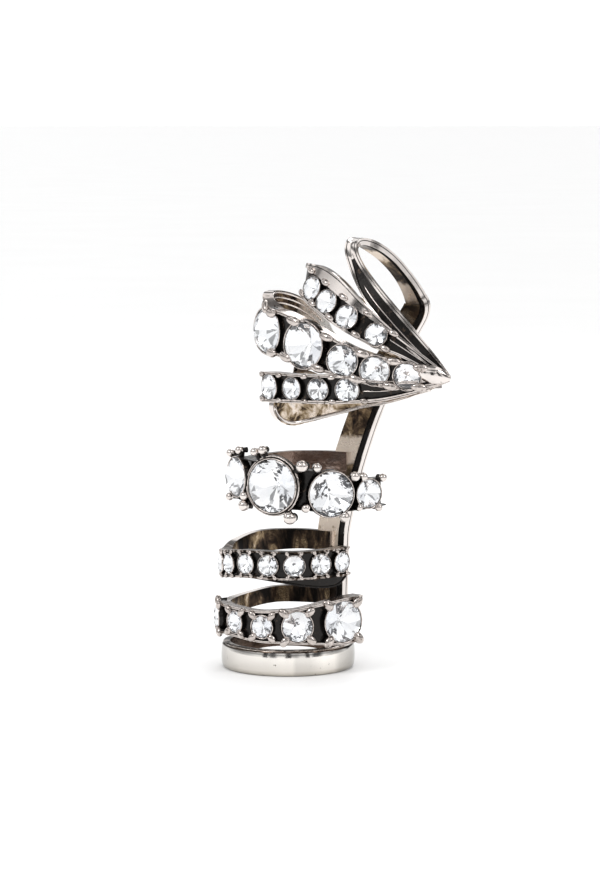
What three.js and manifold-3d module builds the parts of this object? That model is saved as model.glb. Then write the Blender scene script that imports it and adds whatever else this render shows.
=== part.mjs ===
// Ear cuff: stone-set bands and a claw-shaped head on one soldered spine.
// Millimetres, +Z up. X runs to the right and Y to the back of the upright cuff,
// so the stones face -Y. Built about the plain ring's axis, then stood on the floor.
import * as THREE from 'three';
import { mergeVertices } from 'three/addons/utils/BufferGeometryUtils.js';
import { ConvexGeometry } from 'three/addons/geometries/ConvexGeometry.js';
import Module from 'manifold-3d';

const wasm = await Module();
wasm.setup();

// Driving dimensions
const WALL = 1.1; // metal behind the channel floor
const RIM = 0.45; // width of the polished rails along a channel
const RIM_SHARE = 0.4; // most of a narrow strip's half width that a rail takes
const FLOOR_STEP = 0.1; // slope of the channel's sides
const LEAST_RELIEF = 0.02; // channel depth where the strip is thin
const BEZEL = 0.34; // metal round each stone's girdle
const BEZEL_RISE = 0.12; // bezel edge above the girdle
const SEAT_GAP = 0.08; // clearance between a stone and its seat
const SEAT_POINT = 0.12; // the same behind the stone's point
const CUP_FLOOR = 0.3; // metal under a stone's point
const CUP_WALL = 0.3; // height of a cup's upright wall, in girdle radii
const CUP_BASE = 0.45; // radius of a cup's base, in girdle radii
const PAVILION = 0.62; // stone depth below the girdle, in girdle radii
const CROWN = 0.34; // stone height above the girdle, in girdle radii
const TABLE = 0.56; // table radius, in girdle radii
const CROWN_KINK = 0.82; // radius where the crown's main facets meet
const CROWN_KINK_RISE = 0.6; // height of that kink, in crown heights
const GIRDLE = 0.06; // girdle thickness, in girdle radii
const STONE_SIDES = 8;
const CLAW_ANGLE = 50; // claws stand this far off the row's line
const CLAW_REACH = 0.9; // claw centre beyond the seat, in claw radii
const CLAW_DROP = 0.3; // claw centre below the girdle, in claw radii
const CLAW_CORNER = 1.2; // corner of the faceted claw, in claw radii
const SEAT_SIDES = 8; // sides of each seat and cup, drawn round the stone
const AROUND = 1 / Math.cos(Math.PI / SEAT_SIDES); // corner radius of such a shape
const PATH_STEPS = 2; // lofted sections between two table rows
const MERGE = 1e-4; // points closer than this are one

const SILVER = { color: 0xc9c2bd, roughness: 0.22, metalness: 1.0 };
const CRYSTAL = { color: 0xf2f5f8, roughness: 0.02, metalness: 0.0 };

// Plain ring: outer radius and depth, and its height at the front and the back
const PLAIN_RING = {
  radiusX: 9.85, radiusY: 9.8, thick: 1.3, top: 3.85, chamfer: 0.3,
  backBottom: 1.5, liftFrom: 1.0, sections: 36,
};

// Rings round the ear. Angles run from the front (-Y), positive to the right.
// Each starts at its free front end and passes the left side to the spine. The
// flared end of a band has a face and a thickness of its own.
const BAND_COLUMNS = ['angle', 'top', 'bottom', 'reach', 'stone', 'face', 'thick'];
const BAND_1 = {
  name: 'band_1', axis: [3.5, 0], inner: 8.8, claw: 0.78,
  columns: BAND_COLUMNS,
  rows: [
    [64, 28.6, 24.6, 12.0, 0, 64, 2.1],
    [46, 28.8, 24.4, 11.5, 4.1, 32, 2.4],
    [31, 29.2, 24.3, 11.3, 0],
    [14, 29.6, 24.2, 11.5, 6.5],
    [-7, 30.5, 24.6, 11.6, 0],
    [-29, 31.2, 24.8, 12.0, 7.7],
    [-46, 31.5, 25.2, 12.2, 0],
    [-62, 31.8, 25.8, 12.5, 5.7],
    [-82, 31.4, 26.2, 11.3, 0],
    [-100, 30.9, 26.6, 10.4, 0],
    [-125, 30.9, 27.4, 9.9, 0],
    [-160, 31.0, 27.8, 9.9, 0],
    [-190, 31.0, 27.8, 9.9, 0],
    [-215, 31.0, 27.8, 9.9, 0],
  ],
};
const BAND_2 = {
  name: 'band_2', axis: [0.5, 0], inner: 8.8, claw: 0.3,
  columns: BAND_COLUMNS,
  rows: [
    [56, 18.6, 14.5, 10.4, 0],
    [45.5, 18.6, 14.4, 10.4, 2.9],
    [24.5, 18.5, 14.4, 10.4, 3.0],
    [2.5, 18.4, 14.3, 10.4, 3.0],
    [-19, 18.4, 14.3, 10.4, 3.0],
    [-40, 18.35, 14.3, 10.4, 2.9],
    [-62, 17.9, 13.9, 10.4, 2.9],
    [-84, 17.5, 13.4, 10.4, 2.9],
    [-100, 17.5, 13.6, 10.2, 0],
    [-120, 18.3, 14.6, 9.9, 0],
    [-150, 19.1, 15.8, 9.9, 0],
    [-185, 19.2, 16.2, 9.9, 0],
    [-219, 19.1, 16.2, 9.9, 0],
  ],
};
const BAND_3 = {
  name: 'band_3', axis: [0.3, 0], inner: 8.8, claw: 0.5,
  columns: BAND_COLUMNS,
  rows: [
    [66, 11.3, 4.6, 11.7, 0, 66, 2.0],
    [45, 11.2, 4.4, 11.0, 6.0, 30, 2.2],
    [25, 10.7, 4.7, 10.7, 0],
    [6, 10.1, 4.9, 10.6, 4.4],
    [-8, 9.9, 5.0, 10.5, 0],
    [-23, 9.7, 5.0, 10.4, 3.2],
    [-37, 9.7, 5.2, 10.4, 0],
    [-51, 9.8, 5.4, 10.4, 3.2],
    [-67, 9.8, 5.4, 10.5, 0],
    [-86, 9.8, 5.3, 10.6, 4.1],
    [-106, 9.6, 6.2, 10.2, 0],
    [-130, 9.8, 7.4, 9.9, 0],
    [-165, 10.5, 8.1, 9.9, 0],
    [-200, 10.8, 8.1, 9.9, 0],
    [-221, 11.0, 8.0, 9.9, 0],
  ],
};
// The plain skirt below the small stones of band 2
const BAND_2_SKIRT = {
  name: 'band_2_skirt', axis: [0.5, 0], inner: 8.8, claw: 0,
  columns: BAND_COLUMNS,
  rows: [
    [54, 15.6, 14.2, 9.9, 0],
    [40, 15.6, 12.95, 9.9, 0],
    [18, 15.6, 13.05, 9.9, 0],
    [-10, 15.6, 13.8, 9.9, 0],
    [-45, 15.6, 14.3, 9.9, 0],
  ],
};

// Rows of the head. Each starts at the claw's tip, runs left along the front and
// turns back to the spine. A face of 0 looks to -Y, and a negative one to the left.
// The strip's middle stands a row's rise above its stone.
const TIP = [23.0, -13.2, 43.7];
const HEAD_COLUMNS = ['x', 'y', 'z', 'face', 'tilt', 'half', 'thick', 'stone', 'rise'];
const ROW_A = {
  name: 'row_a', claw: 0.36, columns: HEAD_COLUMNS,
  rows: [
    [...TIP, 5, 12, 0.45, 1.5, 0],
    [19.6, -13.2, 45.9, 0, 14, 0.8, 1.7, 0],
    [16.2, -12.7, 48.0, -8, 16, 1.2, 1.8, 0, 0.05],
    [12.6, -11.5, 49.9, -20, 16, 1.95, 1.8, 3.3, 0.2],
    [8.4, -9.5, 52.3, -28, 16, 2.6, 1.8, 3.4, 0.6],
    [5.5, -7.3, 54.4, -36, 16, 2.95, 1.8, 3.4, 0.85],
    [3.4, -4.6, 56.2, -48, 14, 2.9, 1.8, 3.4, 0.65],
    [2.3, -2.2, 57.3, -85, 10, 2.3, 1.5, 0, 0.2],
    [3.0, 0.6, 57.2, -125, 5, 1.8, 1.2, 0],
    [6.0, 4.0, 55.4, -145, 0, 1.6, 1.1, 0],
    [10.8, 6.8, 52.0, -155, 0, 1.6, 1.1, 0],
    [16.6, 8.4, 48.4, -165, 0, 1.5, 1.1, 0],
  ],
};
const ROW_B = {
  name: 'row_b', claw: 0.5, columns: HEAD_COLUMNS,
  rows: [
    [...TIP, 5, 0, 0.45, 1.5, 0],
    [20.3, -13.6, 43.8, 0, 0, 1.2, 1.7, 0],
    [17.0, -13.4, 44.1, -5, 0, 2.0, 1.9, 3.9],
    [12.4, -12.3, 44.8, -12, 0, 2.2, 1.9, 4.2],
    [7.8, -10.6, 46.1, -22, 0, 2.4, 2.0, 4.6],
    [2.2, -7.3, 48.1, -38, 0, 3.2, 2.2, 6.8],
    [-1.2, -3.9, 49.4, -52, 0, 3.3, 2.2, 0],
    [-3.1, -0.2, 49.7, -57, 0, 3.5, 2.4, 6.8],
    [-3.2, 3.6, 52.2, -110, 0, 3.1, 1.4, 0],
    [0.2, 6.2, 51.6, -140, 0, 3.0, 1.1, 0],
    [3.2, 7.3, 49.6, -150, 0, 2.7, 1.1, 0],
    [5.4, 7.9, 47.4, -160, 0, 1.9, 1.1, 0],
    [8.8, 8.6, 45.0, -165, 0, 1.6, 1.1, 0],
    [14.2, 9.2, 43.6, -170, 0, 1.6, 1.1, 0],
  ],
};
const ROW_C = {
  name: 'row_c', claw: 0.36, columns: HEAD_COLUMNS,
  rows: [
    [...TIP, 5, -8, 0.45, 1.5, 0],
    [18.6, -13.2, 42.6, 0, -8, 0.9, 1.7, 0],
    [13.4, -12.3, 41.9, -6, -6, 1.5, 1.8, 0],
    [8.5, -10.8, 41.9, -14, -4, 2.0, 1.8, 3.4],
    [4.3, -8.9, 41.8, -25, 0, 2.1, 1.8, 3.2],
    [0.5, -6.2, 41.7, -40, 0, 2.1, 1.8, 3.2],
    [-2.8, -2.6, 41.6, -55, 0, 2.2, 1.9, 3.7],
    [-4.2, 0.4, 41.5, -80, 0, 2.1, 1.5, 0],
    [-3.1, 3.2, 41.6, -120, 0, 1.7, 1.2, 0],
    [-1.6, 4.6, 41.2, -135, 0, 1.9, 1.1, 0],
    [-0.3, 5.6, 39.7, -145, 0, 4.2, 1.1, 0],
    [2.2, 6.9, 39.4, -160, 0, 4.0, 1.1, 0],
    [5.6, 7.7, 39.3, -172, 0, 3.1, 1.1, 0],
    [10.6, 7.6, 39.8, -185, 0, 2.3, 1.1, 0],
    [15.4, 5.2, 40.5, -215, 0, 1.9, 1.1, 0],
    [18.6, -0.6, 41.4, -245, 0, 1.5, 1.1, 0],
    [20.4, -7.4, 42.4, -255, 0, 1.2, 1.1, 0],
    [22.0, -12.2, 43.2, -255, 0, 0.9, 1.1, 0],
  ],
};

// One strip: the spine from the plain ring up, then the top loop over to the tip
const SPINE = {
  name: 'spine', claw: 0, columns: HEAD_COLUMNS,
  rows: [
    [7.3, 8.1, 2.6, 143, 0, 2.0, 1.5, 0],
    [7.3, 8.1, 9.5, 143, 0, 2.1, 1.5, 0],
    [7.5, 8.4, 17.0, 143, 0, 2.1, 1.5, 0],
    [7.9, 8.5, 21.0, 143, 2, 2.1, 1.5, 0],
    [9.7, 8.7, 28.8, 143, 4, 2.1, 1.5, 0],
    [12.4, 8.7, 37.0, 143, 6, 2.0, 1.5, 0],
    [15.0, 8.6, 43.0, 143, 8, 2.0, 1.5, 0],
    [17.9, 8.1, 49.2, 143, 8, 2.0, 1.5, 0],
    [19.6, 7.6, 52.6, 142, 12, 1.9, 1.5, 0],
    [19.2, 7.4, 54.6, 140, 26, 1.6, 1.3, 0],
    [17.4, 7.0, 57.6, 138, 34, 1.35, 1.1, 0],
    [14.8, 6.2, 60.6, 138, 42, 1.3, 1.1, 0],
    [11.8, 4.4, 62.8, 140, 56, 1.25, 1.1, 0],
    [9.9, 1.4, 63.3, 150, 80, 1.0, 1.0, 0],
    [9.1, -2.0, 62.0, -40, 60, 0.9, 1.0, 0],
    [9.9, -5.2, 59.2, -38, 34, 1.05, 1.1, 0],
    [12.0, -8.2, 55.6, -34, 24, 1.4, 1.3, 0],
    [15.2, -10.6, 51.8, -26, 20, 1.45, 1.5, 0],
    [18.6, -12.3, 48.2, -14, 18, 1.2, 1.5, 0],
    [21.2, -13.0, 45.6, -4, 14, 0.8, 1.5, 0],
    [...TIP, 5, 12, 0.45, 1.5, 0],
  ],
};

// A table's rows as objects with one named value a column
const named = (table) => table.rows.map(
  (row) => Object.fromEntries(table.columns.map((column, i) => [column, row[i]])),
);

const facing = (face, tilt = 0) => {
  const azimuth = THREE.MathUtils.degToRad(face);
  const elevation = THREE.MathUtils.degToRad(tilt);
  return new THREE.Vector3(
    Math.sin(azimuth) * Math.cos(elevation),
    -Math.cos(azimuth) * Math.cos(elevation),
    Math.sin(elevation),
  );
};

// Stations of a ring's band, at the level of its rails
const bandStations = (band) => named(band).map(({
  angle, top, bottom, reach, stone, face = angle, thick = reach - band.inner,
}) => {
  const spoke = facing(angle);
  return {
    at: new THREE.Vector3(...band.axis, (top + bottom) / 2).addScaledVector(spoke, reach),
    out: facing(face),
    half: (top - bottom) / 2,
    thick,
    stone,
    rise: 0,
  };
});

const headStations = (row) => named(row).map(({ x, y, z, face, tilt, half, thick, stone, rise = 0 }) => ({
  at: new THREE.Vector3(x, y, z), out: facing(face, tilt), half, thick, stone, rise,
}));

// Adds each station's direction of travel and its width direction
const withFrames = (stations) => stations.map((station, i) => {
  const next = stations[Math.min(i + 1, stations.length - 1)].at;
  const last = stations[Math.max(i - 1, 0)].at;
  const along = next.clone().sub(last).normalize();
  const up = along.clone().cross(station.out).normalize();
  return { ...station, along, up, out: up.clone().cross(along).normalize() };
});

// The same for what stands on a strip: it faces as its table row says
const settingFrames = (stations) => withFrames(stations).map((framed, i) => {
  const { out } = stations[i];
  const along = framed.along.clone().addScaledVector(out, -framed.along.dot(out)).normalize();
  return { ...framed, out, along, up: along.clone().cross(out) };
});

// Smooth stations between the table's rows, with the rows themselves kept
const smoothStations = (stations) => {
  const mix = (key, i, t) => {
    const at = (k) => stations[THREE.MathUtils.clamp(k, 0, stations.length - 1)][key];
    const [a, b, c, d] = [at(i - 1), at(i), at(i + 1), at(i + 2)];
    const spline = (p, q, r, s) => (
      q + 0.5 * t * (r - p + t * (2 * p - 5 * q + 4 * r - s + t * (3 * (q - r) + s - p)))
    );
    if (typeof b === 'number') return spline(a, b, c, d);
    return new THREE.Vector3(
      spline(a.x, b.x, c.x, d.x), spline(a.y, b.y, c.y, d.y), spline(a.z, b.z, c.z, d.z),
    );
  };
  const dense = [];
  for (let i = 0; i < stations.length - 1; i += 1) {
    for (let step = 0; step < PATH_STEPS; step += 1) {
      const t = step / PATH_STEPS;
      dense.push({
        at: mix('at', i, t),
        out: mix('out', i, t).normalize(),
        half: mix('half', i, t),
        thick: mix('thick', i, t),
        rise: mix('rise', i, t),
      });
    }
  }
  dense.push({ ...stations[stations.length - 1] });
  return dense;
};

// A strip's section: x is depth from its face, y runs across the strip
const plainSection = (half, thick, rise) => (
  [[-thick, -half], [-thick, half], [0, half], [0, -half]].map(([x, y]) => new THREE.Vector2(x, y + rise))
);

// The same with a channel between two rails, wherever the strip is thick enough
const channelSection = (half, thick) => {
  const relief = Math.max(LEAST_RELIEF, thick - WALL);
  const rim = Math.min(RIM, half * RIM_SHARE);
  const floor = half - rim - FLOOR_STEP * Math.min(1, half);
  return [
    [-thick, -half], [-thick, half], [0, half], [0, half - rim],
    [-relief, floor], [-relief, -floor], [0, -half + rim], [0, -half],
  ].map(([depth, across]) => new THREE.Vector2(depth, across));
};

// A closed body through rings of points, capped by the first section's triangles
const loft = (rings, section) => {
  const count = section.length;
  const positions = rings.flat().flatMap((p) => [p.x, p.y, p.z]);
  const index = [];
  for (let i = 0; i < rings.length - 1; i += 1) {
    for (let j = 0; j < count; j += 1) {
      const a = i * count + j;
      const b = i * count + ((j + 1) % count);
      index.push(a, a + count, b, b, a + count, b + count);
    }
  }
  const lastRing = (rings.length - 1) * count;
  const clockwise = THREE.ShapeUtils.isClockWise(section);
  for (const corners of THREE.ShapeUtils.triangulateShape(section, [])) {
    const turned = THREE.ShapeUtils.isClockWise(corners.map((k) => section[k])) !== clockwise;
    const [a, b, c] = turned ? [...corners].reverse() : corners;
    index.push(a, b, c);
    index.push(lastRing + a, lastRing + c, lastRing + b);
  }
  const geometry = new THREE.BufferGeometry();
  geometry.setAttribute('position', new THREE.Float32BufferAttribute(positions, 3));
  geometry.setIndex(index);
  return geometry;
};

const strip = (stations, section) => {
  const framed = withFrames(smoothStations(stations));
  const rings = framed.map(({ at, out, up, half, thick, rise }) => (
    section(half, thick, rise).map(({ x, y }) => at.clone().addScaledVector(out, x).addScaledVector(up, y))
  ));
  return loft(rings, section(framed[0].half, framed[0].thick, framed[0].rise));
};

// A closed three.js geometry as a solid, without its seams and flat triangles
const solid = (geometry) => {
  const bare = geometry.clone();
  bare.deleteAttribute('normal');
  bare.deleteAttribute('uv');
  const merged = mergeVertices(bare, MERGE);
  const triangles = [];
  const index = merged.index.array;
  for (let i = 0; i < index.length; i += 3) {
    const [a, b, c] = [index[i], index[i + 1], index[i + 2]];
    if (a !== b && b !== c && a !== c) triangles.push(a, b, c);
  }
  return new wasm.Manifold(new wasm.Mesh({
    numProp: 3,
    vertProperties: new Float32Array(merged.attributes.position.array),
    triVerts: new Uint32Array(triangles),
  }));
};

const geometryOf = (body) => {
  const mesh = body.getMesh();
  const geometry = new THREE.BufferGeometry();
  geometry.setAttribute('position', new THREE.Float32BufferAttribute(mesh.vertProperties, 3));
  geometry.setIndex([...mesh.triVerts]);
  geometry.computeVertexNormals();
  return geometry;
};

// The plain ring stands on its front and sides, and is narrower at the back
const plainRing = () => {
  const { radiusX, radiusY, thick, top, chamfer, backBottom, liftFrom, sections } = PLAIN_RING;
  const rings = [];
  for (let i = 0; i < sections; i += 1) {
    const out = facing(-360 * i / sections);
    const lift = THREE.MathUtils.smoothstep(out.y * radiusY, liftFrom, radiusY) * backBottom;
    const wall = [
      [-thick, lift], [-thick, top], [-chamfer, top],
      [0, top - chamfer], [0, lift + chamfer], [-chamfer, lift],
    ];
    rings.push(wall.map(([depth, height]) => new THREE.Vector3(
      (radiusX + depth) * out.x, (radiusY + depth) * out.y, height,
    )));
  }
  const count = rings[0].length;
  const index = [];
  for (let i = 0; i < sections; i += 1) {
    const next = ((i + 1) % sections) * count;
    for (let j = 0; j < count; j += 1) {
      const k = (j + 1) % count;
      index.push(i * count + j, next + j, i * count + k, i * count + k, next + j, next + k);
    }
  }
  const geometry = new THREE.BufferGeometry();
  const positions = rings.flat().flatMap((p) => [p.x, p.y, p.z]);
  geometry.setAttribute('position', new THREE.Float32BufferAttribute(positions, 3));
  geometry.setIndex(index);
  return geometry;
};

// Points round a stone's axis, at a radius and height
const circle = (radius, height, sides, turn = 0) => Array.from({ length: sides }, (_, i) => {
  const angle = 2 * Math.PI * (i + turn) / sides;
  return new THREE.Vector3(radius * Math.cos(angle), radius * Math.sin(angle), height);
});

// Round-cut stone: table, eight stars, kites and a pointed back
const stoneGeometry = (radius) => new ConvexGeometry([
  ...circle(TABLE * radius, CROWN * radius, STONE_SIDES),
  ...circle(CROWN_KINK * radius, CROWN_KINK_RISE * CROWN * radius, STONE_SIDES, 0.5),
  ...circle(radius, 0, 2 * STONE_SIDES),
  ...circle(radius, -GIRDLE * radius, 2 * STONE_SIDES),
  new THREE.Vector3(0, 0, -PAVILION * radius),
]);

// The hollow that a stone drops into, open at the front
const seatGeometry = (radius) => new ConvexGeometry([
  ...circle(AROUND * (radius + SEAT_GAP), CROWN * radius + SEAT_GAP, SEAT_SIDES),
  ...circle(AROUND * (radius + SEAT_GAP), -GIRDLE * radius - SEAT_GAP, SEAT_SIDES),
  new THREE.Vector3(0, 0, -PAVILION * radius - SEAT_POINT),
]);

// The bezel and the cup behind it
const cupGeometry = (radius) => new ConvexGeometry([
  ...circle(AROUND * (radius + BEZEL), BEZEL_RISE, SEAT_SIDES),
  ...circle(AROUND * (radius + BEZEL), -CUP_WALL * radius, SEAT_SIDES),
  ...circle(CUP_BASE * radius + BEZEL, -PAVILION * radius - CUP_FLOOR, SEAT_SIDES),
]);

const placement = ({ at, along, up, out }) => (
  new THREE.Matrix4().makeBasis(along, up.clone().negate(), out).setPosition(at)
);

const clawGeometry = (size) => new THREE.OctahedronGeometry(CLAW_CORNER * size, 0);

const clawPlaces = (radius, size) => [1, -1].flatMap((side) => [1, -1].map((end) => {
  const angle = THREE.MathUtils.degToRad(CLAW_ANGLE);
  const reach = radius + SEAT_GAP + CLAW_REACH * size;
  return new THREE.Vector3(end * reach * Math.cos(angle), side * reach * Math.sin(angle), -CLAW_DROP * size);
}));

const strips = [
  ...[BAND_1, BAND_2, BAND_3, BAND_2_SKIRT].map((band) => (
    { ...band, stations: bandStations(band), section: plainSection }
  )),
  ...[ROW_A, ROW_B, ROW_C].map((row) => ({ ...row, stations: headStations(row), section: plainSection })),
  { ...SPINE, stations: headStations(SPINE), section: channelSection },
];

const group = new THREE.Group();
const addMesh = (name, geometry, look) => {
  const mesh = new THREE.Mesh(geometry, new THREE.MeshStandardMaterial(look));
  mesh.name = name;
  group.add(mesh);
  return mesh;
};

let metal = solid(plainRing());
const seats = [];
for (const { name, claw, stations, section } of strips) {
  metal = metal.add(solid(strip(stations, section)));
  let number = 0;
  for (const station of settingFrames(stations)) {
    if (!station.stone) continue;
    number += 1;
    const radius = station.stone / 2;
    const place = placement(station);
    metal = metal.add(solid(cupGeometry(radius).applyMatrix4(place)));
    for (const point of clawPlaces(radius, claw)) {
      const ball = clawGeometry(claw).translate(point.x, point.y, point.z);
      metal = metal.add(solid(ball.applyMatrix4(place)));
    }
    seats.push(solid(seatGeometry(radius).applyMatrix4(place)));
    const stone = addMesh(`${name}_stone_${number}`, stoneGeometry(radius), CRYSTAL);
    stone.applyMatrix4(place);
  }
}
for (const seat of seats) metal = metal.subtract(seat);
addMesh('cuff_frame', geometryOf(metal), SILVER);

// Stood on the floor, with the middle of its box over the origin
group.updateMatrixWorld(true);
const box = new THREE.Box3().setFromObject(group, true);
const middle = box.getCenter(new THREE.Vector3());
group.position.set(-middle.x, -middle.y, -box.min.z);

export default group;
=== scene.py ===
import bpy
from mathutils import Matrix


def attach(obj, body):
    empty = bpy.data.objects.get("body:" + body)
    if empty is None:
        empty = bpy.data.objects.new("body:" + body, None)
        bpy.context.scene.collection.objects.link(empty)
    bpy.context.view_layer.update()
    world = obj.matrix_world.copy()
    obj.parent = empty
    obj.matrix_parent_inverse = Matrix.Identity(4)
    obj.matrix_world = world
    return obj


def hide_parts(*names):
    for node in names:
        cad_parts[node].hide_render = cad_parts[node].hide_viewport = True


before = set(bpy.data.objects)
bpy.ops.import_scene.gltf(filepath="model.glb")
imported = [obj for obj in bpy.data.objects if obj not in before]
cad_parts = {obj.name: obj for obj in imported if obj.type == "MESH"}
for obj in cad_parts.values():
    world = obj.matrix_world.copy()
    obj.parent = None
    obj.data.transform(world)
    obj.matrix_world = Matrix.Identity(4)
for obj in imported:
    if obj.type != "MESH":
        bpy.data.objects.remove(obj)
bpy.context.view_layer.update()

import math

import bmesh
import bpy
from mathutils import Matrix, Vector

bl_info = {
    "name": "Stone-set ear cuff",
    "version": (1, 0, 0),
    "blender": (4, 5, 0),
    "location": "3D View > Sidebar > Ear Cuff",
    "description": "Dresses the ear cuff: antique silver bands, collets, claws and foil-backed crystals",
    "category": "Object",
}

MM = 0.001
BODY = "root"
METAL_NODE = "cuff_frame"
PART_HEIGHT = 63.5  # mm
STEPS = 10  # sections between two rows of a table
STONE_PLAY = 0.001  # mm by which a crystal is smaller than its solid

# What a face of the metal shows
POLISHED, OXIDE_AND_PAINTED_SHADE, TARNISHED, ANTIQUED, RIM = 0, 1, 2, 3, 4

BAND_COLUMNS = ("angle", "top", "bottom", "reach", "stone", "face", "thick")
ROW_COLUMNS = ("x", "y", "z", "face", "tilt", "half", "thick", "stone", "rise")
TIP = (23.0, -13.2, 43.7)

# Rings round the ear, in mm about the plain ring's axis. Angles run from the
# front, positive to the right, and each ring ends on the spine. The flared end of
# a band has a face and a thickness of its own.
BANDS = {
    "band_1": {
        "axis": (3.5, 0.0),
        "rows": (
            (64, 28.6, 24.6, 12.0, 0, 64, 2.1),
            (46, 28.8, 24.4, 11.5, 4.1, 32, 2.4),
            (31, 29.2, 24.3, 11.3, 0),
            (14, 29.6, 24.2, 11.5, 6.5),
            (-7, 30.5, 24.6, 11.6, 0),
            (-29, 31.2, 24.8, 12.0, 7.7),
            (-46, 31.5, 25.2, 12.2, 0),
            (-62, 31.8, 25.8, 12.5, 5.7),
            (-82, 31.4, 26.2, 11.3, 0),
            (-100, 30.9, 26.6, 10.4, 0),
            (-125, 30.9, 27.4, 9.9, 0),
            (-160, 31.0, 27.8, 9.9, 0),
            (-190, 31.0, 27.8, 9.9, 0),
            (-215, 31.0, 27.8, 9.9, 0),
        ),
    },
    "band_2": {
        "axis": (0.5, 0.0),
        "rows": (
            (56, 18.6, 14.5, 10.4, 0),
            (45.5, 18.6, 14.4, 10.4, 2.9),
            (24.5, 18.5, 14.4, 10.4, 3.0),
            (2.5, 18.4, 14.3, 10.4, 3.0),
            (-19, 18.4, 14.3, 10.4, 3.0),
            (-40, 18.35, 14.3, 10.4, 2.9),
            (-62, 17.9, 13.9, 10.4, 2.9),
            (-84, 17.5, 13.4, 10.4, 2.9),
            (-100, 17.5, 13.6, 10.2, 0),
            (-120, 18.3, 14.6, 9.9, 0),
            (-150, 19.1, 15.8, 9.9, 0),
            (-185, 19.2, 16.2, 9.9, 0),
            (-219, 19.1, 16.2, 9.9, 0),
        ),
    },
    "band_3": {
        "axis": (0.3, 0.0),
        "rows": (
            (66, 11.3, 4.6, 11.7, 0, 66, 2.0),
            (45, 11.2, 4.4, 11.0, 6.0, 30, 2.2),
            (25, 10.7, 4.7, 10.7, 0),
            (6, 10.1, 4.9, 10.6, 4.4),
            (-8, 9.9, 5.0, 10.5, 0),
            (-23, 9.7, 5.0, 10.4, 3.2),
            (-37, 9.7, 5.2, 10.4, 0),
            (-51, 9.8, 5.4, 10.4, 3.2),
            (-67, 9.8, 5.4, 10.5, 0),
            (-86, 9.8, 5.3, 10.6, 4.1),
            (-106, 9.6, 6.2, 10.2, 0),
            (-130, 9.8, 7.4, 9.9, 0),
            (-165, 10.5, 8.1, 9.9, 0),
            (-200, 10.8, 8.1, 9.9, 0),
            (-221, 11.0, 8.0, 9.9, 0),
        ),
    },
    "band_2_skirt": {
        "axis": (0.5, 0.0),
        "rows": (
            (54, 15.6, 14.2, 9.9, 0),
            (40, 15.6, 12.95, 9.9, 0),
            (18, 15.6, 13.05, 9.9, 0),
            (-10, 15.6, 13.8, 9.9, 0),
            (-45, 15.6, 14.3, 9.9, 0),
        ),
    },
}
BAND_INNER = 8.8  # inner radius of the bands, mm

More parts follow.
